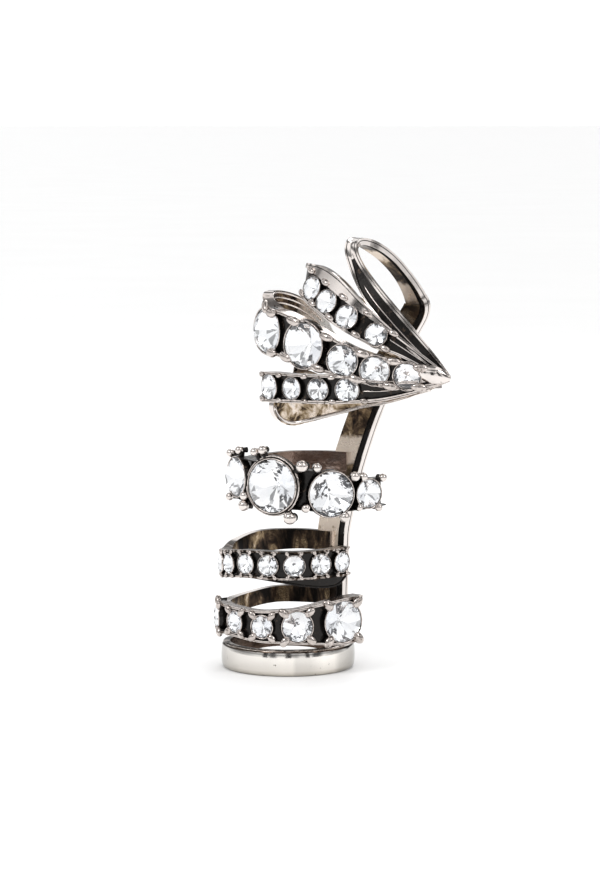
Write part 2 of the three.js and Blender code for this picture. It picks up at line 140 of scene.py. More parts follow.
# Rows of the head, from the tip along the front and back to the spine. A face of
# 0 looks to the front and a negative one to the left, in degrees. The strip's
# middle stands a row's rise above its stone.
ROWS = {
    "row_a": (
        (*TIP, 5, 12, 0.45, 1.5, 0),
        (19.6, -13.2, 45.9, 0, 14, 0.8, 1.7, 0),
        (16.2, -12.7, 48.0, -8, 16, 1.2, 1.8, 0, 0.05),
        (12.6, -11.5, 49.9, -20, 16, 1.95, 1.8, 3.3, 0.2),
        (8.4, -9.5, 52.3, -28, 16, 2.6, 1.8, 3.4, 0.6),
        (5.5, -7.3, 54.4, -36, 16, 2.95, 1.8, 3.4, 0.85),
        (3.4, -4.6, 56.2, -48, 14, 2.9, 1.8, 3.4, 0.65),
        (2.3, -2.2, 57.3, -85, 10, 2.3, 1.5, 0, 0.2),
        (3.0, 0.6, 57.2, -125, 5, 1.8, 1.2, 0),
        (6.0, 4.0, 55.4, -145, 0, 1.6, 1.1, 0),
        (10.8, 6.8, 52.0, -155, 0, 1.6, 1.1, 0),
        (16.6, 8.4, 48.4, -165, 0, 1.5, 1.1, 0),
    ),
    "row_b": (
        (*TIP, 5, 0, 0.45, 1.5, 0),
        (20.3, -13.6, 43.8, 0, 0, 1.2, 1.7, 0),
        (17.0, -13.4, 44.1, -5, 0, 2.0, 1.9, 3.9),
        (12.4, -12.3, 44.8, -12, 0, 2.2, 1.9, 4.2),
        (7.8, -10.6, 46.1, -22, 0, 2.4, 2.0, 4.6),
        (2.2, -7.3, 48.1, -38, 0, 3.2, 2.2, 6.8),
        (-1.2, -3.9, 49.4, -52, 0, 3.3, 2.2, 0),
        (-3.1, -0.2, 49.7, -57, 0, 3.5, 2.4, 6.8),
        (-3.2, 3.6, 52.2, -110, 0, 3.1, 1.4, 0),
        (0.2, 6.2, 51.6, -140, 0, 3.0, 1.1, 0),
        (3.2, 7.3, 49.6, -150, 0, 2.7, 1.1, 0),
        (5.4, 7.9, 47.4, -160, 0, 1.9, 1.1, 0),
        (8.8, 8.6, 45.0, -165, 0, 1.6, 1.1, 0),
        (14.2, 9.2, 43.6, -170, 0, 1.6, 1.1, 0),
    ),
    "row_c": (
        (*TIP, 5, -8, 0.45, 1.5, 0),
        (18.6, -13.2, 42.6, 0, -8, 0.9, 1.7, 0),
        (13.4, -12.3, 41.9, -6, -6, 1.5, 1.8, 0),
        (8.5, -10.8, 41.9, -14, -4, 2.0, 1.8, 3.4),
        (4.3, -8.9, 41.8, -25, 0, 2.1, 1.8, 3.2),
        (0.5, -6.2, 41.7, -40, 0, 2.1, 1.8, 3.2),
        (-2.8, -2.6, 41.6, -55, 0, 2.2, 1.9, 3.7),
        (-4.2, 0.4, 41.5, -80, 0, 2.1, 1.5, 0),
        (-3.1, 3.2, 41.6, -120, 0, 1.7, 1.2, 0),
        (-1.6, 4.6, 41.2, -135, 0, 1.9, 1.1, 0),
        (-0.3, 5.6, 39.7, -145, 0, 4.2, 1.1, 0),
        (2.2, 6.9, 39.4, -160, 0, 4.0, 1.1, 0),
        (5.6, 7.7, 39.3, -172, 0, 3.1, 1.1, 0),
        (10.6, 7.6, 39.8, -185, 0, 2.3, 1.1, 0),
        (15.4, 5.2, 40.5, -215, 0, 1.9, 1.1, 0),
        (18.6, -0.6, 41.4, -245, 0, 1.5, 1.1, 0),
        (20.4, -7.4, 42.4, -255, 0, 1.2, 1.1, 0),
        (22.0, -12.2, 43.2, -255, 0, 0.9, 1.1, 0),
    ),
    "spine": (
        (7.3, 8.1, 2.6, 143, 0, 2.0, 1.5, 0),
        (7.3, 8.1, 9.5, 143, 0, 2.1, 1.5, 0),
        (7.5, 8.4, 17.0, 143, 0, 2.1, 1.5, 0),
        (7.9, 8.5, 21.0, 143, 2, 2.1, 1.5, 0),
        (9.7, 8.7, 28.8, 143, 4, 2.1, 1.5, 0),
        (12.4, 8.7, 37.0, 143, 6, 2.0, 1.5, 0),
        (15.0, 8.6, 43.0, 143, 8, 2.0, 1.5, 0),
        (17.9, 8.1, 49.2, 143, 8, 2.0, 1.5, 0),
        (19.6, 7.6, 52.6, 142, 12, 1.9, 1.5, 0),
        (19.2, 7.4, 54.6, 140, 26, 1.6, 1.3, 0),
        (17.4, 7.0, 57.6, 138, 34, 1.35, 1.1, 0),
        (14.8, 6.2, 60.6, 138, 42, 1.3, 1.1, 0),
        (11.8, 4.4, 62.7, 140, 56, 1.25, 1.1, 0),
        (9.9, 1.4, 63.15, 150, 80, 1.0, 1.0, 0),
        (9.1, -2.0, 61.9, -40, 60, 0.9, 1.0, 0),
        (9.9, -5.2, 59.2, -38, 34, 1.05, 1.1, 0),
        (12.0, -8.2, 55.6, -34, 24, 1.4, 1.3, 0),
        (15.2, -10.6, 51.8, -26, 20, 1.45, 1.5, 0),
        (18.6, -12.3, 48.2, -14, 18, 1.2, 1.5, 0),
        (21.2, -13.0, 45.6, -4, 14, 0.8, 1.5, 0),
        (*TIP, 5, 12, 0.45, 1.5, 0),
    ),
}

# Profiles of a collet beside its stone: distance outside the girdle and height
# above it, in mm. The stepped one has a second, lower ring.
COLLETS = {
    "plain": (
        (-0.05, -0.03), (0.03, 0.05), (0.07, 0.10), (0.12, 0.12), (0.17, 0.09), (0.20, 0.01),
        (0.22, -0.12), (0.26, -0.45), (0.30, -1.00),
    ),
    "slim": (
        (-0.05, -0.03), (0.01, 0.02), (0.04, 0.05), (0.08, 0.06), (0.11, 0.03), (0.13, -0.04),
        (0.14, -0.20), (0.20, -1.00),
    ),
    "stepped": (
        (-0.05, -0.03), (0.04, 0.05), (0.08, 0.10), (0.13, 0.11), (0.19, 0.08), (0.22, -0.02),
        (0.25, -0.18), (0.32, -0.24), (0.38, -0.18), (0.46, -0.15), (0.53, -0.20), (0.57, -0.34),
        (0.59, -1.00),
    ),
}

# How each strip's edges and claws are made: metal behind its channel, widths of
# its upper and lower rails, what the rails and the channel show, its collets, and
# its claws: where they stand, their radius, length, angle off the row and distance
# past the girdle
STYLE_COLUMNS = (
    "wall", "top_rail", "low_rail", "rail_shows", "recess_shows", "collet", "claws", "size", "stretch",
    "angle", "beyond",
)
STYLES = {
    "band_1": (1.1, 0.14, 0.14, OXIDE_AND_PAINTED_SHADE, OXIDE_AND_PAINTED_SHADE, "plain", "balls", 0.80, 1.0, 50, 1.05),
    "band_2": (1.1, 0.28, 0.28, ANTIQUED, OXIDE_AND_PAINTED_SHADE, "slim", "corners", 0.36, 1.15, 60, 0.55),
    "band_3": (1.1, 0.34, 0.30, RIM, OXIDE_AND_PAINTED_SHADE, "plain", "corners", 0.62, 1.45, 47, 0.62),
    "band_2_skirt": (0.95, 0.20, 0.20, OXIDE_AND_PAINTED_SHADE, OXIDE_AND_PAINTED_SHADE, "slim", "none", 0.0, 1.0, 50, 0.0),
    "row_a": (1.1, 0.34, 0.34, POLISHED, OXIDE_AND_PAINTED_SHADE, "slim", "shared", 0.50, 1.75, 50, 0.80),
    "row_b": (1.3, 0.46, 0.46, RIM, OXIDE_AND_PAINTED_SHADE, "plain", "shared", 0.62, 1.90, 48, 0.84),
    "row_c": (1.1, 0.34, 0.46, RIM, OXIDE_AND_PAINTED_SHADE, "slim", "shared", 0.42, 1.50, 50, 0.84),
    "spine": (0.70, 0.26, 0.62, POLISHED, OXIDE_AND_PAINTED_SHADE, "slim", "none", 0.0, 1.0, 50, 0.0),
}

# Balls of the upper band: stone they stand by, angle round it, from 0 towards the
# band's free end to 90 straight up, distance past the girdle and radius in mm
BALL_COLUMNS = ("stone", "angle", "beyond", "radius")
BALLS = (
    (1, 43, 1.20, 0.62), (1, 112, 0.60, 0.66), (1, -50, 0.70, 0.58), (1, -130, 0.50, 0.58),
    (2, 41, 1.05, 0.72), (2, 125, 1.15, 0.70), (2, -53, 0.75, 0.75), (2, -147, 1.00, 0.66),
    (3, 38, 1.95, 0.88), (3, 113, 1.50, 0.66), (3, 127, 1.75, 0.62), (3, -51, 1.50, 0.95),
    (4, 82, 1.20, 0.60), (4, -42, 0.65, 0.66), (4, -57, 1.70, 0.82), (4, 125, 1.00, 0.60),
    (4, -122, 1.00, 0.60),
)


def millimetre_property(name, description, value):
    return bpy.props.FloatProperty(name=name, description=description, default=value, min=0.0, precision=3)


def colour_property(name, description, value):
    return bpy.props.FloatVectorProperty(
        name=name, description=description, default=value, subtype="COLOR", size=3, min=0.0, max=1.0
    )


class CuffSizes(bpy.types.PropertyGroup):
    """Sizes of the metalwork, in millimetres"""

    axis_x: bpy.props.FloatProperty(
        name="Ring axis X", description="Plain ring's axis in the frame, mm", default=-6.138
    )
    axis_y: bpy.props.FloatProperty(
        name="Ring axis Y", description="Plain ring's axis in the frame, mm", default=2.123
    )
    wall: millimetre_property("Wall", "Metal behind the loop's shallow channel, mm", 1.1)
    edge: millimetre_property("Edge", "Rounding of the strips' edges, mm", 0.11)
    ring_width: millimetre_property("Plain ring radius X", "Outer radius across, mm", 9.85)
    ring_depth: millimetre_property("Plain ring radius Y", "Outer radius front to back, mm", 9.8)
    ring_wall: millimetre_property("Plain ring wall", "Thickness of the plain ring, mm", 1.3)
    ring_top: millimetre_property("Plain ring height", "Height of its upper edge, mm", 3.85)
    ring_lift: millimetre_property("Plain ring lift", "Height of its lower edge at the back, mm", 1.5)


class StoneSizes(bpy.types.PropertyGroup):
    """Proportions of a round-cut crystal, in girdle radii"""

    table: bpy.props.FloatProperty(name="Table", description="Table radius", default=0.56)
    crown: bpy.props.FloatProperty(name="Crown", description="Crown height", default=0.34)
    kink: bpy.props.FloatProperty(name="Kink", description="Radius of the crown's kink", default=0.82)
    girdle: bpy.props.FloatProperty(name="Girdle", description="Girdle thickness", default=0.06)
    pavilion: bpy.props.FloatProperty(name="Pavilion", description="Depth below the girdle", default=0.62)
    lower_kink: bpy.props.FloatProperty(
        name="Lower kink", description="Radius where the lower facets meet", default=0.46
    )


class FinishColours(bpy.types.PropertyGroup):
    """Colours of the metal and the studio"""

    silver: colour_property("Silver", "Polished rims", (0.78, 0.725, 0.69))
    silver_worn: colour_property("Worn silver", "Duller patches of the rims", (0.50, 0.45, 0.42))
    rim: colour_property("Rim silver", "Collets and claws", (0.64, 0.58, 0.545))
    black: colour_property("Black", "Oxide in the recesses", (0.012, 0.010, 0.009))
    brown: colour_property("Brown", "Tarnish on the inner faces", (0.075, 0.050, 0.034))
    gold: colour_property("Gold", "Lighter tarnish on the inner faces", (0.34, 0.25, 0.15))
    cream: colour_property("Cream", "Bare patches of the inner faces", (0.84, 0.72, 0.61))
    rose: colour_property("Rose", "Smooth brown of the upper band's inner face", (0.27, 0.19, 0.155))
    pale: colour_property("Pale", "Bare end of the middle row's inner face", (0.88, 0.85, 0.81))
    floor: colour_property("Floor", "Studio floor", (0.96, 0.96, 0.96))


def sizes():
    return bpy.context.scene.cuff_sizes


def cut():
    return bpy.context.scene.cuff_stones


def colours():
    return bpy.context.scene.cuff_colours


def facing(face, tilt=0.0):
    """Unit vector that looks to the front at 0, to the left below it, and up by tilt."""
    azimuth, elevation = math.radians(face), math.radians(tilt)
    level = math.cos(elevation)
    return Vector((math.sin(azimuth) * level, -math.cos(azimuth) * level, math.sin(elevation)))


def band_stations(band):
    """Stations of a ring's band at the level of its rails."""
    stations = []
    for values in band["rows"]:
        row = dict(zip(BAND_COLUMNS, values))
        centre = Vector((*band["axis"], (row["top"] + row["bottom"]) / 2))
        stations.append({
            "at": centre + facing(row["angle"]) * row["reach"],
            "out": facing(row.get("face", row["angle"])),
            "half": (row["top"] - row["bottom"]) / 2,
            "thick": row.get("thick", row["reach"] - BAND_INNER),
            "stone": row["stone"],
            "rise": 0.0,
        })
    return stations


def row_stations(rows):
    """Stations of a row of the head, or of the spine."""
    stations = []
    for values in rows:
        row = dict(zip(ROW_COLUMNS, values))
        stations.append({
            "at": Vector((row["x"], row["y"], row["z"])),
            "out": facing(row["face"], row["tilt"]),
            "half": row["half"],
            "thick": row["thick"],
            "stone": row["stone"],
            "rise": row.get("rise", 0.0),
        })
    return stations


def with_frames(stations):
    """Adds each station's direction along the strip and across it."""
    framed = []
    last = len(stations) - 1
    for i, station in enumerate(stations):
        along = (stations[min(i + 1, last)]["at"] - stations[max(i - 1, 0)]["at"]).normalized()
        up = along.cross(station["out"]).normalized()
        framed.append({**station, "along": along, "up": up, "out": up.cross(along).normalized()})
    return framed


def setting_frames(stations):
    """The same for what stands on a strip: it faces as its table row says."""
    settings = []
    for station, framed in zip(stations, with_frames(stations)):
        if station["stone"]:
            out = station["out"]
            along = (framed["along"] - out * framed["along"].dot(out)).normalized()
            settings.append({**framed, "out": out, "along": along, "up": along.cross(out)})
    return settings


def spline(p, q, r, s, t):
    """Smooth curve from q to r, with p and s as its neighbours."""
    return q + (r - p + (p * 2 - q * 5 + r * 4 - s + ((q - r) * 3 + s - p) * t) * t) * (0.5 * t)


def smooth_stations(stations, steps):
    """Stations between the table's rows."""
    dense = []
    last = len(stations) - 1
    for i in range(last):
        near = [stations[min(max(i + k, 0), last)] for k in (-1, 0, 1, 2)]
        for step in range(steps):
            t = step / steps
            mixed = {
                key: spline(*(station[key] for station in near), t) for key in ("at", "out", "half", "thick", "rise")
            }
            mixed["out"].normalize()
            dense.append(mixed)
    dense.append(stations[last])
    return dense


def channel_outline(style):
    """A strip's outline: depth from the rails, height across, and what its next face shows."""
    def outline(station):
        half, thick, rise = station["half"], station["thick"], station["rise"]
        relief = max(0.03, thick - style["wall"])
        slope = 0.1 * min(1.0, half)
        taper = style.get("taper", 0.0)
        most = half * (0.42 + 0.5 * taper)
        top = min(style["top_rail"] + taper * half, most) + 2 * rise
        low = min(style["low_rail"] + taper * half, most)
        bare = relief < 0.12
        edge = POLISHED if bare else style["rail_shows"]
        recess = POLISHED if bare else style["recess_shows"]
        line = OXIDE_AND_PAINTED_SHADE if max(top, low) > 0.3 else edge
        return (
            (-thick, -half + rise, TARNISHED),
            (-thick, half + rise, edge),
            (-0.4 * rise, half + rise, edge),
            *rail_points(half + rise, -top, edge, line),
            (0.0, half + rise - top, recess),
            (-relief, half + rise - top - slope, recess),
            (-relief, -half + rise + low + slope, recess),
            (0.0, -half + rise + low, edge),
            *reversed(rail_points(-half + rise, low, line, edge)),
            (0.0, -half + rise, edge),
        )
    return outline


def rail_points(side, width, edge, line):
    """A fine groove along a rail, near its outer edge."""
    deep = min(0.09, abs(width) * 0.16)
    near = min(0.24, abs(width) * 0.36)
    step = min(0.06, abs(width) * 0.10)
    way = math.copysign(1.0, width)
    return (
        (0.0, side + near * way, line),
        (-deep, side + (near + step) * way, line),
        (0.0, side + (near + 2 * step) * way, edge),
    )


def spine_outline(style):
    """The spine's outline: the same, with a broad groove beside its inner face and a fine
    one along its side. Over the top of the loop it has no channel."""
    def outline(station):
        half, thick, at = station["half"], station["thick"], station["at"]
        in_front = min(max((-2.0 - at.y) / 5.0, 0.0), 1.0)
        wall = sizes().wall - (sizes().wall - style["wall"]) * in_front
        taper = 1.0 - in_front if at.y < 0.0 else 0.0
        points = channel_outline({**style, "wall": wall, "taper": taper})(station)
        deep = 0.16 * thick
        spread = 0.7 * min(max((46.0 - at.z) / 4.0, 0.0), 1.0)
        side_shows = TARNISHED if at.y < -3.0 else POLISHED
        return (
            (-thick, -half + 0.52 * half, TARNISHED),
            (-thick, half + spread, side_shows),
            *points[2:],
            (-0.30 * thick, -half, OXIDE_AND_PAINTED_SHADE),
            (-0.36 * thick, -half + 0.12, OXIDE_AND_PAINTED_SHADE),
            (-0.42 * thick, -half, POLISHED),
            (-0.97 * thick, -half, POLISHED),
            (-thick, -half + 0.04 * half, OXIDE_AND_PAINTED_SHADE),
            (-thick + deep, -half + 0.12 * half, OXIDE_AND_PAINTED_SHADE),
            (-thick + deep, -half + 0.46 * half, OXIDE_AND_PAINTED_SHADE),
        )
    return outline


def bar_outline(depth, height, radius):
    """A round bar on a strip. Its depth and height are shares of the strip's own."""
    def outline(station):
        spots = (math.radians(45 * k) for k in range(8))
        return tuple(
            (depth * station["thick"] + radius * math.cos(spot),
             height * station["half"] + station["rise"] + radius * math.sin(spot), POLISHED)
            for spot in spots
        )
    return outline


def place_in(station, depth, height):
    return (station["at"] + station["out"] * depth + station["up"] * height) * MM


def sweep(bm, framed, outline):
    """Extrudes an outline through the stations and closes both ends."""
    points = outline(framed[0])
    verts = [bm.verts.new(place_in(framed[0], depth, height)) for depth, height, _ in points]
    count = len(verts)
    edges = [bm.edges.new((verts[k], verts[(k + 1) % count])) for k in range(count)]
    first_edges = list(edges)
    order = {vert: k for k, vert in enumerate(verts)}
    for station in framed[1:]:
        points = outline(station)
        made = bmesh.ops.extrude_edge_only(bm, edges=edges)["geom"]
        new_order = {}
        for vert in (item for item in made if isinstance(item, bmesh.types.BMVert)):
            for edge in vert.link_edges:
                old = edge.other_vert(vert)
                if old in order:
                    new_order[vert] = order[old]
            depth, height, _ = points[new_order[vert]]
            vert.co = place_in(station, depth, height)
        for face in (item for item in made if isinstance(item, bmesh.types.BMFace)):
            ends = sorted(order[vert] for vert in face.verts if vert in order)
            segment = ends[1] if ends == [0, count - 1] else ends[0]
            face.material_index = points[segment][2]
        edges = [item for item in made if isinstance(item, bmesh.types.BMEdge)
                 and all(vert in new_order for vert in item.verts)]
        order = new_order
    for loop in (first_edges, edges):
        cap = bmesh.ops.edgeloop_fill(bm, edges=loop)["faces"]
        for face in cap:
            face.material_index = POLISHED


def placement(station):
    """Matrix that stands a stone's own axes on its station."""
    along, up, out = station["along"], station["up"], station["out"]
    turn = Matrix((along, -up, out)).transposed().to_4x4()
    return Matrix.Translation(station["at"] * MM) @ turn @ Matrix.Scale(MM, 4)


def setting_place(station):
    """The same with +Y up the strip and +X towards its free end."""
    return placement(station) @ Matrix.Rotation(math.pi, 4, "Z")


def add_collet(bm, radius, place, rim, steps=44):
    """Spins the rim that holds a stone, and closes it behind the stone's point."""
    depth = radius * cut().pavilion + 0.3
    base = radius * 0.45 + 0.3
    profile = [(0.0, -depth + 0.18), (radius * 0.5, -depth + 0.2), (radius + 0.06, -0.2)]
    profile += [(radius + reach, height) for reach, height in rim]
    profile += [(base, min(-depth, rim[-1][1] - 0.1)), (0.0, min(-depth, rim[-1][1] - 0.1))]
    verts = [bm.verts.new((reach, 0.0, height)) for reach, height in profile]
    edges = [bm.edges.new(pair) for pair in zip(verts, verts[1:])]
    before = set(bm.faces)
    bmesh.ops.spin(
        bm, geom=verts + edges, cent=(0, 0, 0), axis=(0, 0, 1), angle=2 * math.pi,
        steps=steps, use_merge=True, use_duplicate=False,
    )
    made = [face for face in bm.faces if face not in before]
    for face in made:
        centre = face.calc_center_median()
        beyond = math.hypot(centre.x, centre.y) - radius
        # Painted shade: the lip next to the stone and the collet's lower flank take the dark oxide material, as does
        # the step of a stepped collet
        in_shade = beyond < 0.03 or centre.z < -0.28
        in_step = 0.20 < beyond < 0.34 and centre.z < -0.05
        face.material_index = OXIDE_AND_PAINTED_SHADE if in_shade or in_step else RIM
    spun = list({vert for face in made for vert in face.verts})
    bmesh.ops.remove_doubles(bm, verts=spun, dist=1e-4)
    spun = list({vert for face in made if face.is_valid for vert in face.verts})
    bmesh.ops.transform(bm, matrix=place, verts=spun)


def add_bead(bm, at, shape, shows):
    """A rounded bead, and what it shows."""
    ball = bmesh.ops.create_uvsphere(bm, u_segments=20, v_segments=12, radius=1.0, matrix=at @ shape)
    for vert in ball["verts"]:
        for face in vert.link_faces:
            face.material_index = shows


def add_claw(bm, radius, claw, angle, place):
    """A long bead that points at the stone, with its tip on the collet, on a short stem."""
    size = claw["size"] * (0.55 + 0.21 * radius)
    turn = Matrix.Rotation(angle, 4, "Z")
    reach = radius + claw["beyond"]
    at = place @ turn @ Matrix.Translation((reach, 0, -0.1 * size))
    add_bead(bm, at, Matrix.Diagonal((size * claw["stretch"], size, size * 0.9, 1.0)), RIM)
    tip = place @ turn @ Matrix.Translation((radius + 0.16, 0, 0.06))
    add_bead(bm, tip, Matrix.Diagonal((size * 0.75, size * 0.6, size * 0.5, 1.0)), RIM)
    add_stem(bm, at, size)


def add_prongs(bm, stations, framed, claw):
    """Long beads along both edges of a row, above and below each gap beside a stone."""
    set_rows = [row for row, station in enumerate(stations) if station["stone"]]
    for row in range(set_rows[0] - 1, set_rows[-1] + 1):
        near = stations[row]["stone"] or stations[row + 1]["stone"]
        spot = framed[round((row + 0.5) * STEPS)]
        size = claw["size"] * (0.75 + 0.06 * near)
        shape = Matrix.Diagonal((size * claw["stretch"], size, size * 0.8, 1.0))
        for side in (1, -1):
            height = spot["rise"] + side * claw["beyond"] * spot["half"]
            height = min(height, near / 2 + 0.35)
            place = placement(spot) @ Matrix.Translation((0.0, -height, 0.05))
            add_bead(bm, place, shape, RIM)
            notch = place @ Matrix.Translation((0.0, 0.0, size * 0.48))
            add_bead(bm, notch, Matrix.Diagonal((size * 0.9, size * 0.35, size * 0.28, 1.0)), POLISHED)
            add_stem(bm, place, size)


def add_ball(bm, radius, ball, place):
    """A round ball beside a stone, on its own stem and joined to the collet by a web."""
    turn = Matrix.Rotation(math.radians(ball["angle"]), 4, "Z")
    at = place @ turn @ Matrix.Translation((radius + ball["beyond"], 0, -0.1))
    size = ball["radius"]
    add_bead(bm, at, Matrix.Diagonal((size, size, size, 1.0)), POLISHED)
    web = place @ turn @ Matrix.Translation((radius + ball["beyond"] / 2, 0, -0.55))
    add_bead(bm, web, Matrix.Diagonal((ball["beyond"] / 2 + 0.5, size * 0.6, 0.5, 1.0)), OXIDE_AND_PAINTED_SHADE)
    add_stem(bm, at, size)


def add_stem(bm, at, size):
    """Short dark stem that joins a bead to the strip behind it."""
    stem = bmesh.ops.create_cone(
        bm, cap_ends=True, segments=14, radius1=size * 0.7, radius2=size * 0.5, depth=1.2,
        matrix=at @ Matrix.Translation((0, 0, -0.7)),
    )
    for vert in stem["verts"]:
        for face in vert.link_faces:
            face.material_index = OXIDE_AND_PAINTED_SHADE


def new_piece(name, bm, materials):
    """Makes the mesh object, at the origin, from a bmesh."""
    for face in bm.faces:
        face.smooth = True
    mesh = bpy.data.meshes.new(name)
    bm.to_mesh(mesh)
    bm.free()
    for material in materials:
        mesh.materials.append(material)
    piece = bpy.data.objects.new(name, mesh)
    bpy.context.scene.collection.objects.link(piece)
    return piece


def to_frame(bm):
    """Moves a piece from the plain ring's axis to its place in the frame."""
    shift = Matrix.Translation(Vector((sizes().axis_x, sizes().axis_y, 0.0)) * MM)
    bmesh.ops.transform(bm, matrix=shift, verts=bm.verts)


def round_edges(piece, width):
    bevel = piece.modifiers.new("rounded_edges", "BEVEL")
    bevel.width = width * MM
    bevel.segments = 3
    bevel.limit_method = "ANGLE"
    bevel.angle_limit = math.radians(38)
    bevel.harden_normals = True


def metal_piece(name, bm, width, inner=None):
    """A finished piece of the soldered metal."""
    to_frame(bm)
    bmesh.ops.recalc_face_normals(bm, faces=bm.faces)
    piece = new_piece(name, bm, metal_materials(inner or dark_tarnish))
    if width:
        round_edges(piece, width)
    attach(piece, BODY)
    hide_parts(METAL_NODE)
    return piece


def node_graph(name):
    """A material with an empty node tree, its output and its shader."""
    material = bpy.data.materials.new(name)
    material.use_nodes = True
    tree = material.node_tree
    tree.nodes.clear()
    output = tree.nodes.new("ShaderNodeOutputMaterial")
    shader = tree.nodes.new("ShaderNodeBsdfPrincipled")
    tree.links.new(shader.outputs["BSDF"], output.inputs["Surface"])
    return material, tree, shader


def noise_on(tree, scale, detail=4.0, roughness=0.55, distortion=0.0, stretch=(1, 1, 1)):
    """Noise in object coordinates: scale is in spots a metre."""
    coordinates = tree.nodes.new("ShaderNodeTexCoord")
    mapping = tree.nodes.new("ShaderNodeMapping")
    mapping.inputs["Scale"].default_value = stretch
    noise = tree.nodes.new("ShaderNodeTexNoise")
    noise.inputs["Scale"].default_value = scale
    noise.inputs["Detail"].default_value = detail
    noise.inputs["Roughness"].default_value = roughness
    noise.inputs["Distortion"].default_value = distortion
    tree.links.new(coordinates.outputs["Object"], mapping.inputs["Vector"])
    tree.links.new(mapping.outputs["Vector"], noise.inputs["Vector"])
    return noise.outputs["Fac"]


def ramp(tree, value, stops):
    """Colour ramp through (position, colour) stops."""
    node = tree.nodes.new("ShaderNodeValToRGB")
    elements = node.color_ramp.elements
    while len(elements) < len(stops):
        elements.new(0.5)
    for element, (position, colour) in zip(elements, stops):
        element.position = position
        element.color = (*colour, 1.0) if len(colour) == 3 else colour
    tree.links.new(value, node.inputs["Fac"])
    return node.outputs["Color"]


def grey(value):
    return (value, value, value)


def bump(tree, shader, heights, distance):
    node = tree.nodes.new("ShaderNodeBump")
    node.inputs["Strength"].default_value = 1.0
    node.inputs["Distance"].default_value = distance * MM
    tree.links.new(heights, node.inputs["Height"])
    tree.links.new(node.outputs["Normal"], shader.inputs["Normal"])


def mix_colours(tree, factor, first, second):
    node = tree.nodes.new("ShaderNodeMix")
    node.data_type = "RGBA"
    tree.links.new(factor, node.inputs["Factor"])
    for socket, colour in ((node.inputs["A"], first), (node.inputs["B"], second)):
        if isinstance(colour, bpy.types.NodeSocket):
            tree.links.new(colour, socket)
        else:
            socket.default_value = (*colour, 1.0)
    return node.outputs["Result"]


def polished_silver():
    """Bright plate with a little cloud, a few pits and a warm cast."""
    material, tree, shader = node_graph("polished_silver")
    shader.inputs["Metallic"].default_value = 1.0
    cloud = noise_on(tree, 260, detail=4, distortion=0.4)
    worn = ramp(tree, cloud, ((0.45, grey(0.0)), (0.85, grey(0.75))))
    base = mix_colours(tree, worn, tuple(colours().silver), tuple(colours().silver_worn))
    speck = ramp(tree, noise_on(tree, 1700, detail=2), ((0.22, grey(0.0)), (0.27, grey(1.0))))
    base = mix_colours(tree, speck, tuple(colours().brown), base)
    tree.links.new(base, shader.inputs["Base Color"])
    gloss = ramp(tree, noise_on(tree, 500, detail=3), ((0.3, grey(0.07)), (0.8, grey(0.17))))
    tree.links.new(gloss, shader.inputs["Roughness"])
    bump(tree, shader, noise_on(tree, 420, detail=3), 0.012)
    return material


def ring_silver():
    """The plain ring: smooth plate with painted reflections in soft upright bands, darker at both ends, painted
    shade that darkens it towards its lower edge and lightens it towards its top, and a dark line under its rim.
    """
    material, tree, shader = node_graph("ring_silver")
    shader.inputs["Metallic"].default_value = 1.0
    # Painted reflection: soft upright light and dark bands across the ring, darker at both ends
    bands = ramp(tree, share_along(tree, "X", -16.0, 3.8, 0.12), (
        (0.00, grey(0.42)), (0.05, grey(0.66)), (0.14, grey(0.80)), (0.34, grey(0.86)), (0.46, grey(0.96)),
        (0.53, grey(0.97)), (0.56, grey(0.78)), (0.66, grey(0.80)), (0.76, grey(0.98)), (0.84, grey(0.96)),
        (0.88, grey(0.70)), (0.95, grey(0.55)), (1.00, grey(0.35)),
    ))
    # Painted shade: darker towards the lower edge and lighter towards the top. Near the top it also draws a dark
    # line under the rim
    rim = ramp(tree, share_along(tree, "Z", 0.0, 4.0, 0.06), (
        (0.00, (0.45, 0.42, 0.38)), (0.07, (0.62, 0.58, 0.52)), (0.20, (0.86, 0.82, 0.76)),
        (0.70, (0.95, 0.91, 0.86)), (0.84, (0.97, 0.94, 0.90)), (0.87, tuple(colours().brown)),
        (0.905, tuple(colours().brown)), (0.93, (0.92, 0.88, 0.83)),
    ))
    tone = mix_colours(tree, bands, grey(0.0), rim)
    speck = ramp(tree, noise_on(tree, 1500, detail=3), ((0.27, grey(0.0)), (0.31, grey(1.0))))
    tree.links.new(mix_colours(tree, speck, tuple(colours().brown), tone), shader.inputs["Base Color"])
    gloss = ramp(tree, noise_on(tree, 300, detail=3), ((0.3, grey(0.08)), (0.8, grey(0.16))))
    tree.links.new(gloss, shader.inputs["Roughness"])
    bump(tree, shader, noise_on(tree, 260, detail=2), 0.010)
    return material


def rim_silver():
    """Collets and claws: duller, pinkish, with oxide left in the dips."""
    material, tree, shader = node_graph("rim_silver")
    shader.inputs["Metallic"].default_value = 1.0
    cloud = noise_on(tree, 1500, detail=5, distortion=0.4)
    colour = ramp(tree, cloud, (
        (0.30, tuple(colours().brown)),
        (0.40, tuple(colours().silver_worn)),
        (0.60, tuple(colours().rim)),
        (0.80, tuple(colours().silver)),
    ))
    tree.links.new(colour, shader.inputs["Base Color"])
    tree.links.new(ramp(tree, cloud, ((0.3, grey(0.24)), (0.7, grey(0.10)))), shader.inputs["Roughness"])
    bump(tree, shader, noise_on(tree, 1300, detail=4), 0.035)
    return material


